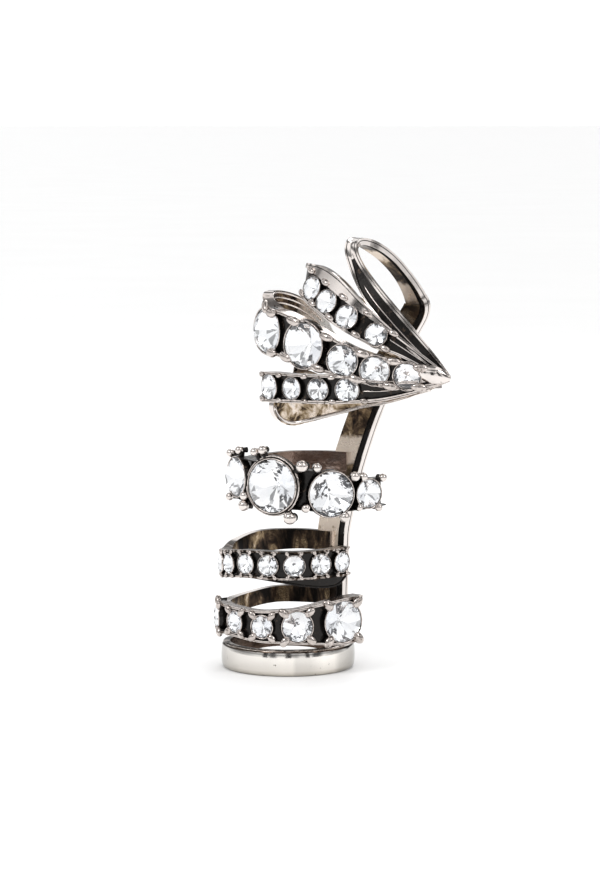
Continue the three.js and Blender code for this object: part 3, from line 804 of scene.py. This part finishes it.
def antiqued_silver():
    """Rails rubbed bright in places over dark oxide."""
    material, tree, shader = node_graph("antiqued_silver")
    shader.inputs["Metallic"].default_value = 1.0
    cloud = noise_on(tree, 900, detail=7, roughness=0.6, distortion=0.5)
    colour = ramp(tree, cloud, (
        (0.40, tuple(colours().black)),
        (0.49, tuple(colours().brown)),
        (0.56, tuple(colours().silver_worn)),
        (0.70, tuple(colours().rim)),
    ))
    tree.links.new(colour, shader.inputs["Base Color"])
    tree.links.new(ramp(tree, cloud, ((0.4, grey(0.34)), (0.7, grey(0.12)))), shader.inputs["Roughness"])
    bump(tree, shader, noise_on(tree, 1200, detail=6), 0.06)
    return material


def oxide_and_painted_shade():
    """Oxide in the channels, a little worn through. On the collets the same dark stands for painted shade beside the
    stone and on the lower flank.
    """
    material, tree, shader = node_graph("oxide_and_painted_shade")
    shader.inputs["Metallic"].default_value = 0.6
    cloud = noise_on(tree, 1100, detail=6, distortion=0.4)
    colour = ramp(tree, cloud, (
        (0.60, tuple(colours().black)),
        (0.71, tuple(colours().brown)),
        (0.82, tuple(colours().silver_worn)),
    ))
    tree.links.new(colour, shader.inputs["Base Color"])
    tree.links.new(ramp(tree, cloud, ((0.3, grey(0.14)), (0.8, grey(0.34)))), shader.inputs["Roughness"])
    bump(tree, shader, noise_on(tree, 1100, detail=5), 0.04)
    return material


def tarnish(name, stops, scale, stretch=(1, 1, 1), gloss=(0.42, 0.16)):
    """Mottled inner face of the casting. Its stops run from oxide to bare metal."""
    material, tree, shader = node_graph(name)
    shader.inputs["Metallic"].default_value = 0.9
    blotch = noise_on(tree, scale, detail=9, roughness=0.64, distortion=0.8, stretch=stretch)
    tree.links.new(ramp(tree, blotch, stops), shader.inputs["Base Color"])
    polish = ramp(tree, blotch, ((0.3, grey(gloss[0])), (0.75, grey(gloss[1]))))
    tree.links.new(polish, shader.inputs["Roughness"])
    bump(tree, shader, noise_on(tree, 900, detail=8), 0.07)
    return material


def dark_tarnish():
    """Inner faces of the two lower bands: dark brown with upright streaks."""
    return tarnish("dark_tarnish", (
        (0.42, tuple(colours().black)),
        (0.52, tuple(colours().brown)),
        (0.62, tuple(colours().gold)),
        (0.74, tuple(colours().cream)),
    ), 420, stretch=(1, 1, 0.35))


def brown_tarnish():
    """Inner faces of the upper band and of the plain ring: smooth pinkish brown."""
    return tarnish("brown_tarnish", (
        (0.26, tuple(colours().black)),
        (0.40, tuple(colours().brown)),
        (0.56, tuple(colours().rose)),
        (0.78, tuple(colours().silver_worn)),
    ), 170, stretch=(0.5, 0.5, 1.8), gloss=(0.3, 0.14))


def gold_tarnish():
    """Inner face of the top row: gold and cream blotches in brown."""
    return tarnish("gold_tarnish", (
        (0.36, tuple(colours().black)),
        (0.45, tuple(colours().brown)),
        (0.54, tuple(colours().gold)),
        (0.66, tuple(colours().cream)),
    ), 420)


def pale_gold_tarnish():
    """Inner face of the lowest row: mostly gold and cream, and above a smooth face with painted shade, pale grey at
    the left and darker brown to the right.
    """
    face, mottled, tree, shader = open_tarnish("pale_gold_tarnish", (
        (0.34, tuple(colours().black)),
        (0.41, tuple(colours().brown)),
        (0.47, tuple(colours().gold)),
        (0.57, tuple(colours().cream)),
        (0.72, tuple(colours().silver)),
    ), 460)
    height = share_along(tree, "Z", 0.0, PART_HEIGHT, 0.15)
    smooth = ramp(tree, height, ((42.7 / PART_HEIGHT, grey(0.0)), (43.1 / PART_HEIGHT, grey(1.0))))
    # Painted shade across the smooth upper face: pale grey at the left, darker brown to the right
    across = ramp(tree, share_along(tree, "X", -12.0, -2.0, 0.1), (
        (0.0, tuple(colours().silver_worn)), (0.8, tuple(colours().brown)),
    ))
    tree.links.new(mix_colours(tree, smooth, mottled, across), shader.inputs["Base Color"])
    return face


def barred_tarnish():
    """Inner face of the middle row: dark at the left, bare and pale at the right."""
    face, mottled, tree, shader = open_tarnish("barred_tarnish", (
        (0.46, tuple(colours().black)),
        (0.58, tuple(colours().brown)),
        (0.70, tuple(colours().gold)),
        (0.80, tuple(colours().cream)),
    ), 500)
    across = share_along(tree, "X", -12.0, 8.0, 0.7)
    bare = ramp(tree, across, ((0.36, grey(0.0)), (0.41, grey(1.0))))
    pale = ramp(tree, across, ((0.40, tuple(colours().cream)), (0.56, tuple(colours().pale))))
    tree.links.new(mix_colours(tree, bare, mottled, pale), shader.inputs["Base Color"])
    return face


def spine_face():
    """Inner face of the spine and loop: mottled, with bare and dark stretches by height."""
    face, mottled, tree, shader = open_tarnish("spine_face", (
        (0.38, tuple(colours().black)),
        (0.47, tuple(colours().brown)),
        (0.58, tuple(colours().gold)),
        (0.70, tuple(colours().cream)),
    ), 420)
    height = share_along(tree, "Z", 0.0, PART_HEIGHT, 0.8)
    dark = ramp(tree, height, heights(
        (0.0, 1.0), (16.4, 1.0), (16.8, 0.0), (25.0, 0.0), (25.4, 0.8), (28.4, 0.5), (28.8, 0.0),
        (49.5, 0.0), (50.0, 0.85), (52.8, 0.8), (53.4, 0.0), (56.2, 0.0), (56.8, 0.55), (59.2, 0.55),
        (59.7, 0.0), (61.0, 0.0), (61.4, 0.8),
    ))
    bare = ramp(tree, height, heights(
        (0.0, 0.0), (16.6, 0.0), (16.9, 1.0), (25.0, 1.0), (25.3, 0.0), (29.0, 0.0), (29.4, 1.0),
        (33.0, 1.0), (33.4, 0.0), (53.2, 0.0), (54.0, 0.55), (56.0, 0.55), (56.4, 0.0), (59.4, 0.0),
        (59.9, 0.8), (60.8, 0.8), (61.2, 0.0),
    ))
    smooth = ramp(tree, noise_on(tree, 240, detail=3), (
        (0.4, tuple(colours().black)), (0.7, tuple(colours().brown)),
    ))
    clean = ramp(tree, noise_on(tree, 500, detail=6), (
        (0.30, tuple(colours().gold)), (0.39, tuple(colours().cream)),
    ))
    base = mix_colours(tree, dark, mottled, smooth)
    tree.links.new(mix_colours(tree, bare, base, clean), shader.inputs["Base Color"])
    return face


def heights(*stops):
    """Ramp stops from (height in mm, shade) pairs."""
    return tuple((level / PART_HEIGHT, grey(shade)) for level, shade in stops)


def open_tarnish(name, stops, scale):
    """A mottled face whose colour can still be changed: material, colour, tree and shader."""
    face = tarnish(name, stops, scale)
    shader = next(node for node in face.node_tree.nodes if node.type == "BSDF_PRINCIPLED")
    return face, shader.inputs["Base Color"].links[0].from_socket, face.node_tree, shader


def share_along(tree, axis, low, high, ragged):
    """Place along an axis of the frame, from 0 to 1 between two values in mm, with a ragged edge."""
    coordinates = tree.nodes.new("ShaderNodeTexCoord")
    split = tree.nodes.new("ShaderNodeSeparateXYZ")
    tree.links.new(coordinates.outputs["Object"], split.inputs["Vector"])
    wobble = tree.nodes.new("ShaderNodeMath")
    wobble.operation = "MULTIPLY_ADD"
    tree.links.new(noise_on(tree, 900, detail=5), wobble.inputs[0])
    wobble.inputs[1].default_value = 2 * ragged * MM
    tree.links.new(split.outputs[axis], wobble.inputs[2])
    scaled = tree.nodes.new("ShaderNodeMapRange")
    scaled.inputs["From Min"].default_value = (low + ragged) * MM
    scaled.inputs["From Max"].default_value = (high + ragged) * MM
    tree.links.new(wobble.outputs["Value"], scaled.inputs["Value"])
    return scaled.outputs["Result"]


def crystal_glass():
    material, tree, shader = node_graph("crystal_glass")
    shader.inputs["Base Color"].default_value = (1.0, 1.0, 1.0, 1.0)
    shader.inputs["Transmission Weight"].default_value = 1.0
    shader.inputs["IOR"].default_value = 1.18
    shader.inputs["Coat Weight"].default_value = 0.7
    shader.inputs["Coat IOR"].default_value = 1.5
    polish = ramp(tree, noise_on(tree, 700, detail=2), ((0.4, grey(0.0)), (0.9, grey(0.02))))
    tree.links.new(polish, shader.inputs["Roughness"])
    return material


def foil_back():
    material, tree, shader = node_graph("foil_back")
    shader.inputs["Metallic"].default_value = 1.0
    shine = ramp(tree, noise_on(tree, 500, detail=2), ((0.3, (0.80, 0.81, 0.83)), (0.8, (0.90, 0.90, 0.90))))
    tree.links.new(shine, shader.inputs["Base Color"])
    shader.inputs["Roughness"].default_value = 0.02
    # Painted light: the foil glows faintly though it is no lamp, which lifts its dark reflections to grey
    shader.inputs["Emission Color"].default_value = (0.9, 0.93, 1.0, 1.0)
    shader.inputs["Emission Strength"].default_value = 0.07
    return material


def foil_shade():
    """The narrow facets, painted dark as a cut crystal's dark reflections, so that they look dark from every side.
    """
    material, tree, shader = node_graph("foil_shade")
    shader.inputs["Metallic"].default_value = 1.0
    shine = ramp(tree, noise_on(tree, 500, detail=2), ((0.3, (0.035, 0.037, 0.042)), (0.8, (0.07, 0.074, 0.08))))
    tree.links.new(shine, shader.inputs["Base Color"])
    shader.inputs["Roughness"].default_value = 0.05
    return material


def black_card():
    material, tree, shader = node_graph("black_card")
    cloud = ramp(tree, noise_on(tree, 20, detail=2), ((0.3, grey(0.015)), (0.7, grey(0.03))))
    tree.links.new(cloud, shader.inputs["Base Color"])
    shader.inputs["Roughness"].default_value = 0.9
    return material


def studio_floor():
    material, tree, shader = node_graph("studio_floor")
    tone = tuple(colours().floor)
    paler = tuple(min(1.0, channel * 1.02) for channel in tone)
    cloud = ramp(tree, noise_on(tree, 12, detail=2), ((0.3, tone), (0.7, paler)))
    tree.links.new(cloud, shader.inputs["Base Color"])
    shader.inputs["Roughness"].default_value = 0.6
    return material


MATERIALS = {}


def material(make):
    """Each material is made once and shared."""
    if make.__name__ not in MATERIALS:
        MATERIALS[make.__name__] = make()
    return MATERIALS[make.__name__]


def metal_materials(inner):
    looks = (polished_silver, oxide_and_painted_shade, inner, antiqued_silver, rim_silver)
    return [material(make) for make in looks]


def hollow_seats(strip, stones):
    """Cuts a strip away where its stones sit, so no metal is inside them."""
    bm = bmesh.new()
    for station in stones:
        radius = station["stone"] / 2
        depth = radius * cut().pavilion + 0.24
        cone = bmesh.ops.create_cone(
            bm, cap_ends=True, segments=36, radius1=radius * 0.5, radius2=radius + 0.12, depth=depth + 0.5,
            matrix=placement(station) @ Matrix.Translation((0, 0, 0.5 - (depth + 0.5) / 2)),
        )
        for vert in cone["verts"]:
            for face in vert.link_faces:
                face.material_index = OXIDE_AND_PAINTED_SHADE
    to_frame(bm)
    bmesh.ops.recalc_face_normals(bm, faces=bm.faces)
    seats = new_piece("seats", bm, list(strip.data.materials))
    hollow = strip.modifiers.new("seats", "BOOLEAN")
    hollow.operation = "DIFFERENCE"
    hollow.solver = "EXACT"
    hollow.use_self = True
    hollow.object = seats
    graph = bpy.context.evaluated_depsgraph_get()
    cut_mesh = bpy.data.meshes.new_from_object(strip.evaluated_get(graph))
    strip.modifiers.clear()
    strip.data = cut_mesh
    bpy.data.objects.remove(seats)


def build_strip(name, stations, width, inner):
    """One stone-set strip: its channel, collets and claws."""
    style = dict(zip(STYLE_COLUMNS, STYLES[name]))
    bm = bmesh.new()
    framed = with_frames(smooth_stations(stations, STEPS))
    outline = spine_outline if name == "spine" else channel_outline
    sweep(bm, framed, outline(style))
    stones = setting_frames(stations)
    strip = metal_piece(name, bm, 0.0, inner)
    if stones:
        hollow_seats(strip, stones)
    round_edges(strip, width)
    if stones:
        metal_piece(f"{name}_settings", build_settings(name, style, stations, framed), 0.0, inner)
    return framed


def build_settings(name, style, stations, framed):
    """The collets of a strip and what holds its stones."""
    bm = bmesh.new()
    for number, station in enumerate(setting_frames(stations), start=1):
        radius, place = station["stone"] / 2, setting_place(station)
        biggest = name == "band_1" and radius > 3.5
        add_collet(bm, radius, place, COLLETS["stepped" if biggest else style["collet"]])
        if style["claws"] == "balls":
            for values in BALLS:
                ball = dict(zip(BALL_COLUMNS, values))
                if ball["stone"] == number:
                    add_ball(bm, radius, ball, place)
        if style["claws"] == "corners":
            lean = math.radians(style["angle"])
            for angle in (lean, math.pi - lean, math.pi + lean, -lean):
                add_claw(bm, radius, style, angle, place)
    if style["claws"] == "shared":
        add_prongs(bm, stations, framed, style)
    return bm


def build_bars(name, framed, bars, inner, depth=-1.0):
    """Round bars along a strip, on its inner face unless a share of its depth is given. Each
    has its first and last table row, its height as a share and its radius."""
    bm = bmesh.new()
    for first, last, height, radius in bars:
        sweep(bm, framed[round(first * STEPS):round(last * STEPS) + 1], bar_outline(depth, height, radius))
    metal_piece(name, bm, 0.0, inner)


class CUFF_OT_plain_ring(bpy.types.Operator):
    """Polished ring that the cuff stands on, narrower at the back"""

    bl_idname = "cuff.plain_ring"
    bl_label = "Plain ring"

    def execute(self, context):
        size = sizes()
        steps = 144
        bm = bmesh.new()
        wall, top = size.ring_wall, size.ring_top
        outline = (
            (-wall, 0.0), (-wall, top), (-0.50, top), (-0.30, top - 0.07), (-0.16, top - 0.22),
            (-0.07, top - 0.5), (0.0, top * 0.72), (0.04, top / 2), (0.0, top * 0.28),
            (-0.08, 0.45), (-0.20, 0.18), (-0.36, 0.04), (-0.60, 0.0),
        )
        verts = [bm.verts.new((size.ring_width + depth, 0.0, height)) for depth, height in outline]
        count = len(verts)
        edges = [bm.edges.new((verts[k], verts[(k + 1) % count])) for k in range(count)]
        bmesh.ops.spin(
            bm, geom=verts + edges, cent=(0, 0, 0), axis=(0, 0, 1), angle=2 * math.pi,
            steps=steps, use_merge=True, use_duplicate=False,
        )
        bmesh.ops.remove_doubles(bm, verts=bm.verts, dist=1e-4)
        inner = size.ring_width - wall
        for face in bm.faces:
            centre = face.calc_center_median()
            reach = math.hypot(centre.x, centre.y)
            on_top = centre.z > top - 0.1 and reach < inner + 1.0
            face.material_index = TARNISHED if reach < inner + 0.02 else ANTIQUED if on_top else POLISHED
        for vert in bm.verts:
            vert.co.y *= size.ring_depth / size.ring_width
            rise = min(max((vert.co.y - 1.0) / (size.ring_depth - 1.0), 0.0), 1.0)
            lift = rise * rise * (3 - 2 * rise) * size.ring_lift
            vert.co.z = lift + vert.co.z * (top - lift) / top
        bmesh.ops.transform(bm, matrix=Matrix.Scale(MM, 4), verts=bm.verts)
        ring = metal_piece("plain_ring", bm, 0.06, brown_tarnish)
        ring.data.materials[POLISHED] = material(ring_silver)
        return {"FINISHED"}


class CUFF_OT_bands(bpy.types.Operator):
    """The three stone-set bands, and the plain skirt under the second"""

    bl_idname = "cuff.bands"
    bl_label = "Bands"

    def execute(self, context):
        for name, band in BANDS.items():
            inner = brown_tarnish if name == "band_1" else dark_tarnish
            build_strip(name, band_stations(band), sizes().edge, inner)
        return {"FINISHED"}


class CUFF_OT_head(bpy.types.Operator):
    """The three rows of the claw-shaped head"""

    bl_idname = "cuff.head"
    bl_label = "Head"

    def execute(self, context):
        faces = {"row_a": gold_tarnish, "row_b": barred_tarnish, "row_c": pale_gold_tarnish}
        framed = {
            name: build_strip(name, row_stations(ROWS[name]), sizes().edge, inner)
            for name, inner in faces.items()
        }
        bars = ((7.6, 10.2, 0.90, 0.17), (7.6, 10.2, 0.66, 0.15), (7.6, 10.4, 0.40, 0.15), (7.8, 10.2, 0.12, 0.13))
        build_bars("row_b_bars", framed["row_b"], bars, barred_tarnish)
        build_bars("row_c_edge", framed["row_c"], ((9.6, 16.5, -0.90, 0.3),), pale_gold_tarnish)
        build_bars("row_a_rib", framed["row_a"], ((0.5, 2.6, 0.15, 0.12),), gold_tarnish, depth=-0.30)
        build_bars("row_c_rib", framed["row_c"], ((0.5, 2.6, -0.10, 0.11),), gold_tarnish, depth=-0.34)
        return {"FINISHED"}


class CUFF_OT_spine(bpy.types.Operator):
    """The spine behind the ear and the loop over it"""

    bl_idname = "cuff.spine"
    bl_label = "Spine and loop"

    def execute(self, context):
        framed = build_strip("spine", row_stations(ROWS["spine"]), sizes().edge, spine_face)
        build_bars("loop_rib", framed, ((15.6, 19.4, 0.30, 0.11),), spine_face, depth=-0.44)
        self.build_tip()
        return {"FINISHED"}

    def build_tip(self):
        """The beak that the rows and the loop run into."""
        bm = bmesh.new()
        place = Matrix.Translation(Vector((20.85, -13.2, 44.25)) * MM) @ Matrix.Scale(MM, 4)
        shape = Matrix.Rotation(math.radians(14), 4, "Y") @ Matrix.Diagonal((2.46, 0.9, 1.35, 1.0))
        bmesh.ops.create_icosphere(bm, subdivisions=5, radius=1.0)
        for vert in bm.verts:
            vert.co.z *= 1 - 0.4 * max(vert.co.x, 0.0) ** 1.5
            vert.co.y *= 1 - 0.4 * max(vert.co.x, 0.0)
        bmesh.ops.transform(bm, matrix=place @ shape, verts=bm.verts)
        metal_piece("tip", bm, 0.0)


class CUFF_OT_stones(bpy.types.Operator):
    """Foil-backed round-cut crystals, one in each collet"""

    bl_idname = "cuff.stones"
    bl_label = "Crystals"

    def execute(self, context):
        tables = [(name, band_stations(band)) for name, band in BANDS.items()]
        tables += [(name, row_stations(row)) for name, row in ROWS.items()]
        for name, stations in tables:
            for number, station in enumerate(setting_frames(stations), start=1):
                self.build_stone(f"{name}_stone_{number}", station)
        return {"FINISHED"}

    def build_stone(self, node, station):
        """A stone is the hull of its tiers: table, kink, girdle, lower kink and point."""
        shape, radius = cut(), station["stone"] / 2 - STONE_PLAY
        half_turn = math.cos(math.pi / 8)
        kink_rise = shape.crown * (1 - shape.kink * half_turn) / (1 - shape.table)
        lower_drop = shape.girdle + (shape.pavilion - shape.girdle) * (1 - shape.lower_kink * half_turn)
        tiers = (
            (8, 0.0, shape.table, shape.crown),
            (8, 0.5, shape.kink, kink_rise),
            (16, 0.0, 1.0, 0.0),
            (16, 0.0, 1.0, -shape.girdle),
            (8, 0.5, shape.lower_kink, -lower_drop),
            (8, 0.0, 0.03, -shape.pavilion),
        )
        bm = bmesh.new()
        for sides, turn, reach, height in tiers:
            spot = Matrix.Translation((0, 0, height)) @ Matrix.Rotation(2 * math.pi * turn / sides, 4, "Z")
            bmesh.ops.create_circle(bm, segments=sides, radius=reach, matrix=spot)
        hull = bmesh.ops.convex_hull(bm, input=bm.verts)
        loose = [item for item in hull["geom_interior"] + hull["geom_unused"] if item.is_valid]
        bmesh.ops.delete(bm, geom=[item for item in loose if isinstance(item, bmesh.types.BMVert)], context="VERTS")
        bmesh.ops.dissolve_limit(
            bm, angle_limit=math.radians(1.0), verts=bm.verts, edges=bm.edges, use_dissolve_boundaries=False,
        )
        for face in bm.faces:
            low = sum(abs(vert.co.z + lower_drop) < 1e-4 for vert in face.verts)
            narrow = low == 2 and len(face.verts) == 3 and max(vert.co.z for vert in face.verts) > -lower_drop / 2
            behind = face.calc_center_median().z < -shape.girdle * 1.01
            # Narrow lower facets take the foil painted with dark reflections
            face.material_index = 2 if narrow else 1 if behind else 0
        bmesh.ops.transform(bm, matrix=placement(station) @ Matrix.Scale(radius, 4), verts=bm.verts)
        to_frame(bm)
        bmesh.ops.recalc_face_normals(bm, faces=bm.faces)
        piece = new_piece(node.replace("stone", "crystal"), bm, [material(make) for make in (crystal_glass, foil_back, foil_shade)])
        for polygon in piece.data.polygons:
            polygon.use_smooth = False
        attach(piece, BODY)
        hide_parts(node)


class CUFF_OT_stage(bpy.types.Operator):
    """Pale floor, soft lights, white tent with three dark flags, and camera"""

    bl_idname = "cuff.stage"
    bl_label = "Stage"

    def execute(self, context):
        self.build_floor()
        self.build_flags()
        self.build_world(context.scene)
        self.build_lights()
        self.build_camera(context.scene)
        context.scene.view_settings.view_transform = "Standard"
        context.scene.view_settings.look = "None"
        return {"FINISHED"}

    def build_floor(self):
        bm = bmesh.new()
        bmesh.ops.create_grid(bm, x_segments=2, y_segments=2, size=20.0)
        floor = new_piece("studio_floor", bm, [material(studio_floor)])

    def build_flags(self):
        """Dark cards that only reflections see: name, centre and size in metres, turn in degrees."""
        cards = (
            ("flag_front", (0.0, -0.50, 0.10), (0.09, 0.24), 0),
            ("flag_left", (-0.30, -0.36, 0.10), (0.07, 0.30), -40),
            ("flag_right", (0.26, -0.40, 0.12), (0.06, 0.32), 33),
        )
        for name, centre, (width, height), turn in cards:
            bm = bmesh.new()
            bmesh.ops.create_grid(bm, x_segments=1, y_segments=1, size=0.5)
            bmesh.ops.scale(bm, vec=(width, height, 1.0), verts=bm.verts)
            bmesh.ops.rotate(bm, matrix=Matrix.Rotation(math.radians(90), 3, "X"), verts=bm.verts)
            bmesh.ops.rotate(bm, matrix=Matrix.Rotation(math.radians(turn), 3, "Z"), verts=bm.verts)
            bmesh.ops.translate(bm, vec=centre, verts=bm.verts)
            card = new_piece(name, bm, [material(black_card)])
            card.visible_camera = False
            card.visible_diffuse = False
            card.visible_transmission = False
            card.visible_shadow = False

    def build_world(self, scene):
        """White tent, brighter overhead. The camera sees plain white behind the cuff."""
        world = bpy.data.worlds.new("studio")
        world.use_nodes = True
        tree = world.node_tree
        tree.nodes.clear()
        output = tree.nodes.new("ShaderNodeOutputWorld")
        background = tree.nodes.new("ShaderNodeBackground")
        coordinates = tree.nodes.new("ShaderNodeTexCoord")
        split = tree.nodes.new("ShaderNodeSeparateXYZ")
        tree.links.new(coordinates.outputs["Generated"], split.inputs["Vector"])
        floor_light = ramp(tree, split.outputs["Z"], ((0.0, grey(0.62)), (0.6, grey(0.72)), (0.9, grey(0.9))))
        # Metal sees the tent's seams as dark bands
        metal_up = ramp(tree, split.outputs["Z"], (
            (0.00, grey(0.72)), (0.08, grey(0.76)), (0.13, grey(0.30)), (0.22, grey(0.26)), (0.27, grey(0.80)),
            (0.48, grey(0.86)), (0.54, grey(0.10)), (0.64, grey(0.10)), (0.70, grey(0.90)), (0.90, grey(0.95)),
            (0.96, grey(0.20)),
        ))
        metal_across = ramp(tree, self.as_share(tree, split.outputs["X"]), (
            (0.00, grey(0.45)), (0.08, grey(0.95)), (0.22, grey(1.0)), (0.26, grey(0.16)), (0.31, grey(0.16)),
            (0.35, grey(0.95)), (0.46, grey(0.95)), (0.52, grey(0.55)), (0.63, grey(0.55)), (0.68, grey(1.0)),
            (0.82, grey(1.0)), (0.85, grey(0.14)), (0.91, grey(0.14)), (0.95, grey(0.9)), (1.0, grey(0.4)),
        ))
        metal_light = self.multiply(tree, metal_up, metal_across)
        # Crystals see white with a few dark slits
        slits = ramp(tree, self.as_share(tree, split.outputs["X"]), (
            (0.00, grey(0.8)), (0.24, grey(0.90)), (0.25, grey(0.20)), (0.30, grey(0.20)), (0.31, grey(0.92)),
            (0.50, grey(0.75)), (0.66, grey(0.92)), (0.67, grey(0.25)), (0.72, grey(0.25)), (0.73, grey(0.92)),
            (1.0, grey(0.75)),
        ))
        rings = ramp(tree, split.outputs["Z"], (
            (0.00, grey(0.75)), (0.20, grey(0.82)), (0.21, grey(0.20)), (0.27, grey(0.20)), (0.28, grey(0.88)),
            (0.60, grey(0.90)), (0.61, grey(0.25)), (0.67, grey(0.25)), (0.68, grey(0.92)), (1.0, grey(1.0)),
        ))
        crystal_light = self.multiply(tree, slits, rings)
        path = tree.nodes.new("ShaderNodeLightPath")
        tone = mix_colours(tree, path.outputs["Is Glossy Ray"], floor_light, metal_light)
        tone = mix_colours(tree, path.outputs["Is Transmission Ray"], tone, crystal_light)
        tone = mix_colours(tree, path.outputs["Is Camera Ray"], tone, grey(1.0))
        tree.links.new(tone, background.inputs["Color"])
        background.inputs["Strength"].default_value = 1.4
        tree.links.new(background.outputs["Background"], output.inputs["Surface"])
        scene.world = world

    def as_share(self, tree, value):
        """A direction's part from -1..1 as 0..1."""
        node = tree.nodes.new("ShaderNodeMapRange")
        node.inputs["From Min"].default_value = -1.0
        node.inputs["From Max"].default_value = 1.0
        tree.links.new(value, node.inputs["Value"])
        return node.outputs["Result"]

    def multiply(self, tree, first, second):
        node = tree.nodes.new("ShaderNodeMix")
        node.data_type = "RGBA"
        node.blend_type = "MULTIPLY"
        node.inputs["Factor"].default_value = 1.0
        tree.links.new(first, node.inputs["A"])
        tree.links.new(second, node.inputs["B"])
        return node.outputs["Result"]

    def build_lights(self):
        """Soft boxes: name, place and size in metres, power in watts."""
        boxes = (
            ("key", (-0.30, -0.30, 0.40), 0.16, 0.55),
            ("fill", (0.34, -0.22, 0.30), 0.12, 0.28),
            ("back", (0.10, 0.45, 0.35), 0.20, 0.40),
        )
        aim = Vector((0.0, 0.0, 0.03))
        for name, place, size, power in boxes:
            light = bpy.data.lights.new(name, "AREA")
            light.shape = "SQUARE"
            light.size = size
            light.energy = power
            lamp = bpy.data.objects.new(name, light)
            lamp.location = place
            lamp.rotation_euler = (aim - Vector(place)).to_track_quat("-Z", "Y").to_euler()
            bpy.context.scene.collection.objects.link(lamp)

    def build_camera(self, scene):
        """Long lens, a little above the cuff and tilted down to it."""
        distance, pitch, focal_pixels, image_height, sensor = 0.450, math.radians(6.0), 3061.2, 870, 36.0
        target = Vector((sizes().axis_x + 1.764, sizes().axis_y, 34.29)) * MM
        look = Vector((0, math.cos(pitch), -math.sin(pitch)))
        camera = bpy.data.cameras.new("camera")
        camera.sensor_width = sensor
        camera.lens = focal_pixels / image_height * sensor
        camera.clip_start = 0.01
        holder = bpy.data.objects.new("camera", camera)
        holder.location = target - look * distance
        holder.rotation_euler = look.to_track_quat("-Z", "Y").to_euler()
        scene.collection.objects.link(holder)
        scene.camera = holder


OPERATORS = (
    CUFF_OT_stage, CUFF_OT_plain_ring, CUFF_OT_bands, CUFF_OT_head, CUFF_OT_spine, CUFF_OT_stones,
)


class CUFF_PT_panel(bpy.types.Panel):
    """Lists the steps and sizes of the cuff"""

    bl_idname = "CUFF_PT_panel"
    bl_label = "Ear cuff"
    bl_space_type = "VIEW_3D"
    bl_region_type = "UI"
    bl_category = "Ear Cuff"

    def draw(self, context):
        for operator in OPERATORS:
            self.layout.operator(operator.bl_idname)
        for group in (context.scene.cuff_sizes, context.scene.cuff_stones, context.scene.cuff_colours):
            box = self.layout.box()
            for name in group.__annotations__:
                box.prop(group, name)


GROUPS = (CuffSizes, StoneSizes, FinishColours)


def register():
    for each in (*GROUPS, *OPERATORS, CUFF_PT_panel):
        bpy.utils.register_class(each)
    bpy.types.Scene.cuff_sizes = bpy.props.PointerProperty(type=CuffSizes)
    bpy.types.Scene.cuff_stones = bpy.props.PointerProperty(type=StoneSizes)
    bpy.types.Scene.cuff_colours = bpy.props.PointerProperty(type=FinishColours)


def unregister():
    for name in ("cuff_colours", "cuff_stones", "cuff_sizes"):
        delattr(bpy.types.Scene, name)
    for each in reversed((*GROUPS, *OPERATORS, CUFF_PT_panel)):
        bpy.utils.unregister_class(each)


def main():
    register()
    bpy.ops.cuff.stage()
    bpy.ops.cuff.plain_ring()
    bpy.ops.cuff.bands()
    bpy.ops.cuff.head()
    bpy.ops.cuff.spine()
    bpy.ops.cuff.stones()


if __name__ == "__main__":
    main()
